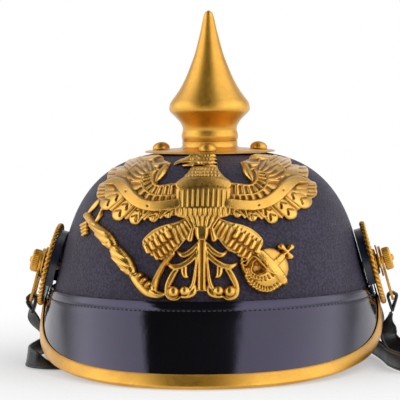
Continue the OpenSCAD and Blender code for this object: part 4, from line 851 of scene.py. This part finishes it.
def on_orb(along, aside):
    """A place on the ball with its height, counted along the girdle and towards the cross."""
    rise = math.sqrt(max(0.0, 1 - (along ** 2 + aside ** 2) / ORB_R ** 2))
    return *(ORB + across * along + up * aside), SHEET + ORB_RISE * rise


def round_orb(places, half, proud, form):
    stroke([(x, z, half, h + proud) for x, z, h in (on_orb(*place) for place in places)], form)


round_orb([(q, 2.2) for q in (-10.6, -6, -2, 2, 6, 10.4)], 2.7, 0.9, rolled)
round_orb([(-1.2, q) for q in (5.4, 8, 10.4)], 2.3, 0.9, rolled)
round_orb([(q, 2.2) for q in (10.4, 12.6)], 2.7, 1.2, rolled)
# Its lower side is a hollow under the claw and two fluted crescents
for x, z in ((32.4, 70), (34.6, 70.4), (33.2, 72.8)):
    pit = np.hypot((X - x), (Z - z)) / 4.0
    relief[:] = np.where(pit < 1, np.minimum(relief, 3.2 + 4.6 * pit ** 3), relief)
crescents = [([(27.8, 65.8), (31.2, 61), (36, 57.8), (41.2, 57.2), (46.2, 60)], 12, 2.3, 5.2),
             ([(27.4, 70), (29.2, 66.2), (33.2, 64.2), (37.8, 64.4), (42, 66.8)], 9, 1.7, 6.6)]
for arc, flutes, w, high in crescents:
    rim_line = smooth_line([(x, z, w, 0.0) for x, z in arc], 10 * flutes)
    stroke([(x, z, w, high) for x, z, _, _ in rim_line[::10]], rounded, per_span=3)
    for k in range(flutes):
        x, z = rim_line[10 * k + 4][:2]
        run, _ = ways((x, z), rim_line[10 * k + 7][:2])
        d = np.abs((X - x) * run[0] + (Z - z) * run[1])
        aside = np.abs((X - x) * run[1] - (Z - z) * run[0])
        relief[:] -= 1.2 * np.sqrt((1 - (d / 0.5) ** 2).clip(0)) * (aside < w * 0.85)
hub = ORB + up * (ORB_R + 1.6) + across * -1.4
for quarter in range(4):
    angle = ORB_TILT + math.radians(2) + quarter * math.pi / 2
    arm = np.array((math.cos(angle), math.sin(angle)))
    stroke([(*hub, 0.9, 5.2), (*(hub + 2.2 * arm), 1.35, 5.0), (*(hub + 4.2 * arm), 2.1, 4.6)], rounded,
           per_span=4)

# The leg and claw over the orb
stroke([(25, 79.6, 1.5, 3.8), (24.4, 75.4, 1.5, 4.4), (25.2, 70.8, 1.6, 5.2), (27.2, 66.6, 1.7, 5.6)], ridge)
stroke([(26.4, 72.4, 0.8, 5.2), (28.6, 76.2, 0.9, 6.4), (31, 78, 0.8, 7.2), (34.6, 74.2, 0.85, 7.9),
        (39.4, 68.4, 0.8, 8.2), (43.2, 66.4, 0.5, 7.8)])
for z in (78, 75.8, 73.6):
    stroke([(23.4, z, 0.4, 4.6), (25.4, z - 0.8, 0.5, 5.2), (27, z, 0.4, 4.6)], per_span=3)

# Sceptre: a thick foot, two bulbs with flutes that wind round them, a rod and a crossing ribbon
sceptre_line = [(-24.6, 54.6, 2.1), (-28.6, 54.9, 3.1), (-33.4, 56.6, 3.7), (-37.8, 60.2, 3.6),
                (-41.4, 64, 3.0), (-43.6, 66.8, 2.4), (-45.6, 69.6, 3.9), (-48.9, 73.8, 4.8),
                (-53.6, 79.2, 4.3), (-56.6, 82.8, 2.4), (-58.6, 85.2, 3.7), (-62.1, 88.8, 4.2),
                (-67.2, 92.9, 3.2), (-72.6, 97.1, 2.1), (-76.6, 101, 2.2)]
stroke([(x, z, w, 2.2 + 0.85 * w) for x, z, w in sceptre_line], rounded)
for low, high in ((6, 9), (10, 13)):
    part = np.array(sceptre_line[low:high + 1])
    _, aside = ways(part[0, :2], part[-1, :2])
    for lane in range(-3, 4):
        flute = []
        for t in np.linspace(0.04, 0.96, 9):
            x, z, w = (np.interp(t * (len(part) - 1), range(len(part)), column) for column in part.T)
            turn = 0.62 * lane + 1.5 * (t - 0.5)
            if abs(turn) < 0.8:
                flute.append((x + aside[0] * w * turn, z + aside[1] * w * turn, 0.8,
                              2.2 + (0.85 * w + 1.0) * (1 - 0.4 * turn ** 2)))
        if len(flute) > 1:
            stroke(flute, per_span=2)
for k, w in ((5, 2.4), (9, 2.5)):
    run, cross = ways(sceptre_line[k - 1][:2], sceptre_line[k + 1][:2])
    for shift in (-0.9, 0.9):
        mid = sceptre_line[k][:2] + run * shift
        stroke([(*(mid - cross * w), 0.7, 3.8), (*mid, 0.8, 5.6), (*(mid + cross * w), 0.7, 3.8)], per_span=3)
stroke([(-58.6, 76.4, 0.4, 2.2), (-57.4, 76, 1.0, 3.0), (-55, 73.4, 0.4, 2.2)], ridge)
stroke([(-69.6, 111, 1, 2.4), (-72.6, 107.6, 1.3, 2.8), (-76, 103.6, 0.9, 2.6)], ridge)
stroke([(-66.6, 106, 0.9, 2.4), (-67.6, 102.6, 1.2, 2.8), (-70, 98.6, 0.9, 2.6)], ridge)
for k in range(4):
    stroke([(-80.8 + 0.55 * k, 94.6 - 1.9 * k, 0.95, 3.4), (-77 + 0.1 * k, 97 - 2.1 * k, 0.85, 3.2)],
           per_span=3)

# The other leg, its claws round the sceptre and its heel on the sceptre's foot
stroke([(-18.6, 80, 2.2, 3.6), (-22, 75.6, 2.1, 4.2), (-24.6, 71.6, 2.2, 4.4), (-27.8, 64.9, 2.3, 4.6),
        (-29.2, 58.6, 2.3, 5.6)], rounded)
for side in (-1.35, 1.2):
    stroke([(-18.8 + side * 0.8, 79.6 + side * 0.4, 0.5, 4.6),
            (-24.4 + side * 0.9, 71.8 + side * 0.4, 0.6, 5.4),
            (-27.8 + side, 64.8 + side * 0.3, 0.6, 5.6), (-29.2 + side, 59, 0.6, 5.8)])
for x, z, r in ((-38, 66.6, 1.9), (-35, 63.9, 1.8), (-32.2, 61.6, 1.8)):
    stroke([(x, z, r, 6.6), (x - 0.8, z - 0.9, r, 7.0)], per_span=2)
stroke([(-30.6, 56.8, 2.3, 5.6), (-27.6, 55.4, 2.3, 5.8), (-23.6, 54.8, 1.3, 4.6)])


def blurred(field, reach):
    """A running mean along both ways, done twice, which softens like a worn die."""
    for _ in range(2):
        for axis in (0, 1):
            total = sum(np.roll(field, k, axis) for k in range(-reach, reach + 1))
            field = total / (2 * reach + 1)
    return field


# Toning and painted shade darken where the relief lies lower than what is round it, near by and farther off
filled = np.where(relief > 0, relief, SHEET)
hollow_toning_and_shade = ((blurred(filled, 4) - filled) / 0.75).clip(0, 1)
hollow_toning_and_shade += ((blurred(filled, 12) - filled) / 3.2).clip(0, 0.5)
relief = 0.55 * filled + 0.45 * blurred(filled, 1)


def on_front(x, z, h):
    """The place over the shell's front at x and z as they are seen, raised towards the front."""
    # Near the crown the plate leaves the shell and stands a little off it
    r = np.where(z > LEAVE_Z, float(shell_r(LEAVE_Z)) - LEAVE_SLOPE * (z - LEAVE_Z),
                 shell_r(np.minimum(z, LEAVE_Z)))
    y = -PLAN_RATIO * np.sqrt(np.maximum(1.0, r ** 2 - x ** 2))
    normal = np.stack([x, y / PLAN_RATIO ** 2, 0.1 * r * (shell_r(z - 0.2) - shell_r(z + 0.2)) / 0.4], -1)
    normal /= np.linalg.norm(normal, axis=-1, keepdims=True)
    return np.stack([x, y, z], -1) + h[..., None] * normal


rows, cols = X.shape
kept = inside > -EDGE_SLACK
cell = kept[:-1, :-1] & kept[1:, :-1] & kept[:-1, 1:] & kept[1:, 1:]
count = np.zeros_like(X, int)
for dr, dc in ((0, 0), (1, 0), (0, 1), (1, 1)):
    count[dr:rows - 1 + dr, dc:cols - 1 + dc] += cell
rim = (count > 0) & (count < 4)
slope_z, slope_x = np.gradient(inside, STEP)
steep = slope_x ** 2 + slope_z ** 2 + 1e-6
move = np.where(rim, inside, 0).clip(-0.3, 0.3) / np.maximum(0.5, steep)
flat_x, flat_z = X - move * slope_x, Z - move * slope_z
# A grid over the whole field takes the relief, and only the cells inside the plate's outline stay
bpy.ops.object.select_all(action="DESELECT")
bpy.ops.mesh.primitive_grid_add(x_subdivisions=cols - 1, y_subdivisions=rows - 1)
eagle = bpy.context.object
eagle.name = eagle.data.name = "eagle_struck"
eagle.data.vertices.foreach_set("co", (on_front(flat_x, flat_z, relief) * MM).ravel())
for layer, values in (("toning_and_shade", hollow_toning_and_shade), ("flat_x", flat_x), ("flat_z", flat_z)):
    eagle.data.attributes.new(layer, "FLOAT", "POINT").data.foreach_set("value", values.ravel())
bpy.ops.object.mode_set(mode="EDIT")
bpy.ops.mesh.select_all(action="DESELECT")
bpy.ops.object.mode_set(mode="OBJECT")
eagle.data.polygons.foreach_set("select", ~cell.ravel())
bpy.ops.object.mode_set(mode="EDIT")
bpy.ops.mesh.select_mode(type="FACE")
bpy.ops.mesh.delete(type="FACE")
# The cut edge is turned down to the leather, as a struck sheet's is
bpy.ops.mesh.select_mode(type="VERT")
bpy.ops.mesh.select_all(action="SELECT")
bpy.ops.mesh.delete_loose()
bpy.ops.mesh.select_all(action="DESELECT")
bpy.ops.mesh.select_non_manifold(extend=False, use_wire=False, use_multi_face=False, use_non_contiguous=False,
                                 use_verts=False)
bpy.ops.mesh.extrude_edges_move()
bpy.ops.object.mode_set(mode="OBJECT")
corners = len(eagle.data.vertices)
picked, place_x, place_z = np.zeros(corners, bool), np.zeros(corners), np.zeros(corners)
eagle.data.vertices.foreach_get("select", picked)
eagle.data.attributes["flat_x"].data.foreach_get("value", place_x)
eagle.data.attributes["flat_z"].data.foreach_get("value", place_z)
places = np.zeros(corners * 3)
eagle.data.vertices.foreach_get("co", places)
places = places.reshape(-1, 3)
places[picked] = (on_front(place_x, place_z, 0 * place_x + TURNED_H) * MM)[picked]
eagle.data.vertices.foreach_set("co", places.ravel())
for layer in ("flat_x", "flat_z"):
    eagle.data.attributes.remove(eagle.data.attributes[layer])
edit_all((bpy.ops.mesh.normals_make_consistent, dict(inside=False)))
bpy.ops.object.shade_smooth()
coat(eagle, brass("struck_brass", worn=True, low=(0.66, 0.35, 0.05), high=(0.86, 0.5, 0.1), roughness=0.3))
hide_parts("eagle_plate")
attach(eagle, "helmet")

# Cockades: stamped discs painted dark blue, each with a rim of twisted gilt cord, on a threaded
# post that leans with the flank. The left side's pieces are mirror copies of the right side's.
COCKADE_Z, COCKADE_R, CORD_R, COCKADE_LIFT = 63.0, 29.0, 2.0, 4.9
post_at = Matrix.Translation(Vector((float(shell_r(COCKADE_Z)), 0, COCKADE_Z)) * MM) @ Matrix.Rotation(
    math.pi / 2 - FLANK_ANGLE, 4, "Y")


def at_side(piece, left):
    """Moves a piece made on the vertical axis to the right post, or mirrored to the left one."""
    piece.data.transform(post_at)
    if left:
        piece.data.transform(Matrix.Scale(-1, 4, (1, 0, 0)))
        bpy.ops.object.select_all(action="DESELECT")
        piece.select_set(True)
        bpy.context.view_layer.objects.active = piece
        edit_all((bpy.ops.mesh.normals_make_consistent, dict(inside=False)))
    return piece


def spun(r, turn, z, length=1.0):
    """Places at a radius and a height, turned about the axis."""
    return np.stack([r * np.cos(turn), length * r * np.sin(turn), z + 0 * r * turn], -1)


def twisted_ring(name, ring_r, strand_r, lay_r, turns, strands, z, length=1.0, steps=14):
    """A cord of several strands laid round each other and closed to a ring."""
    made = []
    around = np.linspace(0, 2 * math.pi, turns * steps + 1)[:, None]
    b = np.linspace(0, 2 * math.pi, 9)[:-1]
    for strand in range(strands):
        twist = around * turns + strand * 2 * math.pi / strands
        r = ring_r + lay_r * np.cos(twist) + strand_r * np.cos(b)
        rows = spun(r, around, z + lay_r * np.sin(twist) + strand_r * np.sin(b), length)
        made.append(grid_piece(name, rows, capped=False, angle=80))
    return joined(name, made)


navy = new_finish("navy_paint", (0.011, 0.015, 0.04), 0.34, Coat_Weight=0.3, Coat_Roughness=0.2)
paint_haze = noise(navy, object_place(navy), 120.0, Detail=6.0)
wire(navy, blend_of(navy, paint_haze, (0.008, 0.011, 0.03), (0.02, 0.026, 0.06)), "Base Color")
bump_by(navy, paint_haze, 0.2, 0.0002)
wire(navy, range_of(navy, paint_haze, 0.28, 0.42), "Roughness")
DISC_R = COCKADE_R - 2 * CORD_R - 0.15
WALL_LOW, RAYS = (COCKADE_Z - SEAM_Z) / math.cos(FLANK_ANGLE) - 1, 48
for left in (True, False):
    word = "left" if left else "right"
    # Behind the disc's rim a wall reaches back to the shell, cut away over the visors' seam
    wall_ring = [(DISC_R - 1.4, COCKADE_LIFT + 0.6), (DISC_R - 1.4, 0.5), (DISC_R - 1.2, 0.3),
                 (DISC_R - 0.3, 0.3), (DISC_R - 0.1, 0.5), (DISC_R - 0.1, COCKADE_LIFT + 0.6)]
    share = np.linspace(0, 1, 97)[:, None]
    wall_r, wall_z = np.array(wall_ring).T
    end_a = np.arccos(WALL_LOW / wall_r)
    wall_a = end_a + (2 * math.pi - 2 * end_a) * share
    wall = grid_piece("cockade_wall", spun(wall_r, wall_a, wall_z))
    # The disc's face is pressed into fine rays between two rings
    ring_r = np.array([2.6, 8.6, 9.4, 10.2, 11, 14.5, 18, 19, 20, 21.4, 23.4, DISC_R - 0.4, DISC_R, DISC_R,
                       22, 12, 2.6])
    ring_z = np.array([2.2, 2.2, 2.1, 1.9, 1.7, 1.8, 1.9, 2.1, 1.9, 1.3, 1.3, 1.2, 0.9, 0.1, 0.1, 0.4, 0.4])
    ray_h = np.interp(range(len(ring_r)), (3, 4, 5, 6, 7), (0, 0.16, 0.2, 0.16, 0))
    around = np.linspace(0, 2 * math.pi, 6 * RAYS + 1)[:, None]
    lift = COCKADE_LIFT + ring_z + ray_h * np.cos(RAYS * around)
    disc = grid_piece("cockade_disc_" + word, spun(ring_r, around, lift), capped=False)
    disc = joined("cockade_disc_" + word, [disc, wall])
    coat(at_side(disc, left), navy)
    cord = twisted_ring("cockade_rope_" + word, COCKADE_R - CORD_R, 1.12, 0.86, 24, 2, COCKADE_LIFT + CORD_R)
    coat(at_side(cord, left), gilt)
    for piece, node, slot in ((disc, "cockade_" + word, "navy_enamel"),
                              (cord, "cockade_cord_" + word, "brass")):
        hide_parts(node)
        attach(piece, "helmet")

# Post stack: a bulged ring, a flange, the bail and a knurled nut, all turned brass, are threaded
# on each post. The nut is run up by hand.
ROSETTE_AT, ROSETTE_R, ROSETTE_H = COCKADE_LIFT + 2.2, 9.0, 3.2
FLANGE_AT, FLANGE_R, FLANGE_T = ROSETTE_AT + ROSETTE_H + 0.6, 11.0, 1.2
BAIL_AT, BAIL_T = FLANGE_AT + FLANGE_T + LAY_GAP, 1.8
KNOB_AT, KNOB_R, KNOB_LEN, KNURLS, KNURL_DEPTH = BAIL_AT + BAIL_T + LAY_GAP, 7.75, 5.6, 20, 0.26
POST_R = 2.5
BORE_R, NECK_R = POST_R + 0.05, 4.95
for left in (True, False):
    word = "left" if left else "right"
    half_h = ROSETTE_H / 2
    bulge = [(ROSETTE_R - half_h + half_h * math.cos(b), ROSETTE_AT + half_h + half_h * math.sin(b))
             for b in np.linspace(-math.pi / 2, math.pi / 2, 12)]
    ring_side = [(BORE_R, ROSETTE_AT)] + bulge + [(BORE_R, ROSETTE_AT + ROSETTE_H)]
    rosette = turned("bulged_ring_" + word, ring_side, steps=64)
    top = FLANGE_AT + FLANGE_T
    flange_side = [(BORE_R, FLANGE_AT - 0.6), (NECK_R, FLANGE_AT - 0.6), (NECK_R, FLANGE_AT),
                   (FLANGE_R - 0.3, FLANGE_AT), (FLANGE_R, FLANGE_AT + 0.3), (FLANGE_R, top - 0.35),
                   (FLANGE_R - 0.35, top), (BORE_R, top)]
    flange = turned("flange_turned_" + word, flange_side, steps=64)
    face = KNOB_AT + KNOB_LEN
    crown = [(2.4 * math.cos(b), face + 1.6 * math.sin(b)) for b in np.linspace(0, math.pi / 2, 7)]
    nut_side = [(0, KNOB_AT), (KNOB_R * 0.86, KNOB_AT), (KNOB_R * 0.95, KNOB_AT + 0.4),
                (KNOB_R, KNOB_AT + 0.8), (KNOB_R, face - 1.4), (KNOB_R * 0.95, face - 0.7),
                (KNOB_R * 0.86, face - 0.1), (KNOB_R * 0.6, face), (3, face - 0.1)] + crown
    around = np.linspace(0, 2 * math.pi, 12 * KNURLS + 1)[:, None]
    side_r, side_z = np.array(nut_side).T
    knurl = np.where(side_r > KNOB_R * 0.9, KNURL_DEPTH * np.abs(np.sin(KNURLS * around)), 0)
    knob = grid_piece("knurled_nut_" + word, spun(side_r - knurl, around, side_z), closed=False, capped=False,
                      angle=30)
    for piece, node in ((rosette, "rosette_"), (flange, "flange_"), (knob, "knob_")):
        coat(at_side(piece, left), gilt)
        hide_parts(node + word)
        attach(piece, "helmet")
    softened("bail_bent_" + word, "bail_" + word, gilt, 0.45, body="bail_" + word, segments=3)

# Chin strap: two halves of black strap leather, each folded round the bar of its bail, laid out
# over the table as they fell, and joined inside the helmet by a slide buckle and two keepers.
STRAP_W, STRAP_T, BAIL_REACH, BAIL_BAR = 12.0, 1.8, 27.5, 3.0
down = np.array((math.sin(FLANK_ANGLE), 0, -math.cos(FLANK_ANGLE)))
off = np.array((math.cos(FLANK_ANGLE), 0, math.sin(FLANK_ANGLE)))
bar = np.array((float(shell_r(COCKADE_Z)), 0, COCKADE_Z))
bar += (BAIL_AT + BAIL_T / 2) * off + (BAIL_REACH - BAIL_BAR / 2) * down
fold_r = BAIL_BAR / 2 + 1.5 * LAY_GAP + STRAP_T / 2
fold_path = [bar + down * 9 - off * (fold_r - 0.4)]
fold_path += [bar - fold_r * (math.cos(math.radians(a)) * off + math.sin(math.radians(a)) * down)
              for a in range(-15, 196, 35)]
LOWER_Z, UPPER_Z, OVERLAP, OVERLAP_A = 2.2, 6.2, (1.0, 41.0), math.radians(50)


def overlap_at(d, z):
    """A place on the line of the overlap inside the helmet, d along it from the buckle."""
    return (OVERLAP[0] + d * math.cos(OVERLAP_A), OVERLAP[1] + d * math.sin(OVERLAP_A), z, 0)


# Both routes: [x, y, height of the strap's middle, degrees that it is turned up on its edge]
left_route = [(-p[0], p[1], p[2], 0) for p in fold_path] + [
    (-122.9, 0, 33, 0), (-120.9, 2, 25, 8), (-117, 8, 17, 32), (-113.4, 15, 11.5, 60), (-111.5, 24, 8, 80),
    (-113, 33, 6.6, 90), (-117, 32, 6.2, 90), (-119, 22, 6.2, 90), (-120.5, 4, 6.2, 90), (-122, -16, 6.2, 88),
    (-121.5, -32, 6, 80), (-118, -44, 5, 55), (-111, -51, 2.6, 22), (-100, -54, 1.3, 4), (-82, -50, 1, 0),
    (-60, -36, 1, 0), (-42, -14, 1.4, 0), (-28, 7, 4, 0)] + [
    overlap_at(d, UPPER_Z) for d in (-26, -13, 0, 17)]
right_route = [(p[0], p[1], p[2], 0) for p in fold_path] + [
    (120.8, 0, 27, 0), (119.6, -1, 20, 15), (120.6, -2, 13, 45), (126, -5, 8, 75), (136, -12, 6.4, 90),
    (147, -26, 6.2, 90), (153, -45, 6.2, 90), (151, -64, 6.2, 90), (143, -78, 6.2, 90), (133, -81, 6.2, 90),
    (125, -72, 6.2, 90), (119, -50, 6.2, 90), (116, -24, 6.2, 90), (112, 4, 6.2, 90), (107, 24, 6.2, 80),
    (97, 42, 4.6, 45), (82, 58, 2, 10), (62, 70, 1, 0), (42, 75, 1, 0), (27, 70, 1.4, 0)] + [
    overlap_at(d, LOWER_Z) for d in (26, 13, 0, -17)]


def strap_rows(route, steps):
    route = smooth_line(route, steps)
    turn = np.radians(route[:, 3])
    place = route[:, :3].copy()
    place[:, 2] = np.maximum(place[:, 2], STRAP_T / 2 * np.cos(turn) + STRAP_W / 2 * np.sin(turn) + 0.01)
    half_t, half_w = STRAP_T / 2, STRAP_W / 2
    corner = [(-half_w, -0.2), (-half_w, 0.2), (-half_w + 0.25, half_t - 0.2), (-half_w + 0.7, half_t),
              (-half_w + 1.5, half_t), (-half_w + 1.8, half_t - 0.14), (-half_w + 2.1, half_t),
              (0, half_t + 0.05)]
    upper = corner + [(-c, t) for c, t in corner[-2::-1]]
    section = upper + [(c, -t) for c, t in upper[-2:0:-1]]
    rows = []
    for i in range(steps + 1):
        run = place[min(steps, i + 1)] - place[max(0, i - 1)]
        run /= np.linalg.norm(run)
        hung = min(1, max(0, (place[i][2] - 9) / 8)) if i < steps / 4 else 0
        level = np.array((0, 1, 0)) * hung + np.cross((0, 0, 1), run) * (1 - hung)
        level = level - (level @ run) * run
        level /= np.linalg.norm(level)
        across = level * math.cos(turn[i]) + np.cross(run, level) * math.sin(turn[i])
        thick = np.cross(run, across)
        ring = np.array([place[i] + across * c + thick * t for c, t in section])
        ring[:, 2] = ring[:, 2].clip(0)
        rows.append(ring)
    return rows


strap_leather = new_finish("black_strap_leather", (0.016, 0.015, 0.018), 0.4, Specular_IOR_Level=0.5)
strap_place = object_place(strap_leather)
strap_grain = add_node(strap_leather, "ShaderNodeTexVoronoi", {"Vector": strap_place}, Scale=900.0)
strap_wear = noise(strap_leather, strap_place, 60.0, Detail=6.0)
wire(strap_leather, blend_of(strap_leather, strap_wear, (0.011, 0.01, 0.013), (0.03, 0.028, 0.032)),
     "Base Color")
wire(strap_leather, range_of(strap_leather, strap_wear, 0.32, 0.5), "Roughness")
bump_by(strap_leather, strap_grain.outputs["Distance"], 0.3, 0.00025)
for word, route, sign in (("left", left_route, -1), ("right", right_route, 1)):
    strap = coat(grid_piece("chin_strap_" + word, strap_rows(route, 300), angle=50), strap_leather)
    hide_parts("strap_" + word)
    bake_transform(strap)
softened("slide_buckle", "strap_buckle", gilt, 0.3)
softened("strap_keeper_loops", "strap_keepers", strap_leather, 0.35)

# Lining: a sweatband of brown leather turned in at the rim, and thin tongues sewn to it, whose
# tips a linen cord draws together under the crown.
BAND_LOW_R, BAND_TOP_R, BAND_LOW_Z, BAND_TOP_Z, BAND_T = 102.2, 88.0, RIM_Z - 3.4, 74.0, 1.5
rim_r = float(shell_r(RIM_Z)) - 0.8
band_profile = [(rim_r, RIM_Z - 1.5), (rim_r, RIM_Z - 0.4), (rim_r - 0.5, RIM_Z - 0.3),
                (BAND_LOW_R + BAND_T, RIM_Z - 1.5), (BAND_TOP_R + BAND_T, BAND_TOP_Z + 0.2),
                (BAND_TOP_R + BAND_T * 0.6, BAND_TOP_Z + 0.4), (BAND_TOP_R + 0.2, BAND_TOP_Z + 0.2),
                (BAND_TOP_R, BAND_TOP_Z - 0.2), (BAND_LOW_R - 0.1, BAND_LOW_Z + 0.3),
                (BAND_LOW_R + 0.5, BAND_LOW_Z)]
sweatband = turned("sweatband_leather", band_profile, steps=144, length=PLAN_RATIO)
coat(sweatband, grained_leather("worn_brown_leather", low=(0.16, 0.075, 0.03), high=(0.3, 0.165, 0.075),
                                roughness=0.5, grain=1.7, depth=0.12))
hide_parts("sweatband")
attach(sweatband, "helmet")

TONGUES, TONGUE_T, TONGUE_HALF_A, DRAW_R = 10, 1.2, math.radians(13.392), 30.0


def lining_z(share):
    """Height at a share of the way from the sweatband's top to the crown."""
    return BAND_TOP_Z + (CROWN_Z - SHELL_WALL - BAND_TOP_Z) * share


band_r = BAND_LOW_R + (BAND_TOP_R - BAND_LOW_R) * (BAND_TOP_Z - 8 - BAND_LOW_Z) / (BAND_TOP_Z - BAND_LOW_Z)
tongue_line = smooth_line([(band_r - 3 * LAY_GAP, BAND_TOP_Z - 8), (0.955 * BAND_TOP_R, lining_z(0.123)),
                           (0.875 * BAND_TOP_R, lining_z(0.324)), (0.705 * BAND_TOP_R, lining_z(0.509)),
                           (0.511 * BAND_TOP_R, lining_z(0.627)), (DRAW_R - 2, lining_z(0.685))], 30)
tongues = []
for k in range(TONGUES):
    turn = (k + 0.5) * 2 * math.pi / TONGUES + TONGUE_HALF_A * np.linspace(-1, 1, 9)
    upper, under = (spun(skin[:, :1], turn, skin[:, 1:], PLAN_RATIO)
                    for skin in (tongue_line, tongue_line - 0.75 * TONGUE_T))
    tongues.append(grid_piece("tongue", np.concatenate([upper, under[:, ::-1]], 1), angle=50))
lining = coat(joined("lining_tongues", tongues),
              grained_leather("tan_lining_leather", low=(0.3, 0.18, 0.09), high=(0.46, 0.3, 0.165),
                              roughness=0.62, grain=1.3, depth=0.1))
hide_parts("liner_tongues")
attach(lining, "helmet")

linen = new_finish("linen_cord", (0.55, 0.48, 0.34), 0.85)
fibre = noise(linen, object_place(linen), 1500.0, Detail=4.0)
wire(linen, blend_of(linen, fibre, (0.4, 0.33, 0.22), (0.66, 0.59, 0.45)), "Base Color")
bump_by(linen, fibre, 0.6, 0.0003)
draw = coat(twisted_ring("lining_drawcord", DRAW_R, 0.6, 0.42, 60, 2, float(lining_z(0.639)), PLAN_RATIO,
                         steps=8), linen)
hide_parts("liner_drawcord")
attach(draw, "helmet")

# Plain turned and stamped pieces keep their CAD solids and get their metal: posts, nuts, lugs, the
# spine's studs and the spigot in the collar.
dull = brass("unpolished_brass", low=(0.42, 0.27, 0.1), high=(0.6, 0.42, 0.17), roughness=0.38)
plain_metals = dict(spike_spigot=dull, base_stud_nuts=dull, spine_studs=gilt, spine_nuts=dull,
                    eagle_lugs=dull, eagle_nuts=dull, post_left=dull, post_right=dull, post_nuts=dull)
for node, metal in plain_metals.items():
    plain = bpy.data.objects[node]
    if not plain.material_slots:
        coat(plain, metal)
    for held in plain.material_slots:
        held.material = metal

# Studio: a pale floor that turns white far off, a white horizon, and two broad soft boxes over the
# left and the right with a dark gap between them, which the lacquer of the visor mirrors.
FLOOR_W, FLOOR_Z = 9.0, -0.0006
bpy.ops.object.select_all(action="DESELECT")
bpy.ops.mesh.primitive_plane_add(size=FLOOR_W)
floor = bpy.context.object
floor.name = "floor"
floor.data.transform(Matrix.Translation((0, 0, FLOOR_Z)))
pale = new_finish("pale_floor", (0.96, 0.96, 0.96), 0.9, Specular_IOR_Level=0.1)
far_off = add_node(pale, "ShaderNodeVectorMath", {0: object_place(pale)}, operation="LENGTH").outputs["Value"]
fade = add_node(pale, "ShaderNodeMapRange", {"Value": far_off}, interpolation_type="SMOOTHSTEP",
                From_Min=-0.12, From_Max=0.4).outputs["Result"]
white = add_node(pale, "ShaderNodeEmission", Strength=1.0)
white.inputs["Color"].default_value = (1, 1, 1, 1)
near = pale.node_tree.nodes["Principled BSDF"].outputs["BSDF"]
spread = add_node(pale, "ShaderNodeMixShader", {0: fade, 1: near, 2: white.outputs["Emission"]})
pale.node_tree.links.new(spread.outputs["Shader"], pale.node_tree.nodes["Material Output"].inputs["Surface"])
coat(floor, pale)

world = bpy.data.worlds.new("soft_boxes")
bpy.context.scene.world = world
world.use_nodes = True
aim = add_node(world, "ShaderNodeTexCoord").outputs["Generated"]
GAP_LIGHT, BOX_LIGHT = 0.05, 1.95


def along_sky(facing, start, end, low=0.0, high=1.0):
    """Runs from low to high as a direction turns towards a facing."""
    lean = add_node(world, "ShaderNodeVectorMath", {0: aim}, operation="DOT_PRODUCT")
    lean.inputs[1].default_value = facing
    return add_node(world, "ShaderNodeMapRange", {"Value": lean.outputs["Value"]},
                    interpolation_type="SMOOTHSTEP", From_Min=start, From_Max=end,
                    To_Min=low, To_Max=high).outputs["Result"]


def combined(operation, first, second):
    return add_node(world, "ShaderNodeMath", {0: first, 1: second}, operation=operation).outputs["Value"]


left_box = along_sky((-0.768, 0.48, -0.424), -0.05, 0.05, GAP_LIGHT, BOX_LIGHT)
right_box = along_sky((0.92, 0.342, -0.194), -0.05, 0.05, GAP_LIGHT, BOX_LIGHT)
fall_off = combined("MULTIPLY", along_sky((0, 1, 0), 0.24, 0.6, 1.0, 0.26),
                    along_sky((0, 0, 1), 0.3, 0.9, 1.0, 0.75))
boxes = combined("MULTIPLY", combined("MAXIMUM", left_box, right_box), fall_off)
open_sky = combined("MULTIPLY", along_sky((0, 0, 1), 0.07, 0.2), along_sky((0, 1, 0), 0.92, 0.78))
level = add_node(world, "ShaderNodeMix", {"Factor": open_sky, "B": boxes}, data_type="FLOAT")
level.inputs["A"].default_value = 1.0
world.node_tree.links.new(level.outputs["Result"], world.node_tree.nodes["Background"].inputs["Strength"])
world.node_tree.nodes["Background"].inputs["Color"].default_value = (1, 1, 1, 1)

# The camera of the photo: lens and place in metres, as fitted to its outline
LENS, SENSOR_W, EYE, AIM, ROLL = 210.8, 36.0, (0.0802, -1.5840, 0.195), (-0.0071, -0.0004, 0.1079), -0.6
camera_data = bpy.data.cameras.new("photo_camera")
camera = bpy.data.objects.new("photo_camera", camera_data)
bpy.context.collection.objects.link(camera)
bpy.context.scene.camera = camera
camera_data.sensor_width, camera_data.lens = SENSOR_W, LENS
camera.location = EYE
view = (Vector(AIM) - Vector(EYE)).to_track_quat("-Z", "Y")
camera.rotation_euler = (view.to_matrix() @ Matrix.Rotation(math.radians(ROLL), 3, "Z")).to_euler()
bpy.context.scene.view_settings.view_transform = "Standard"
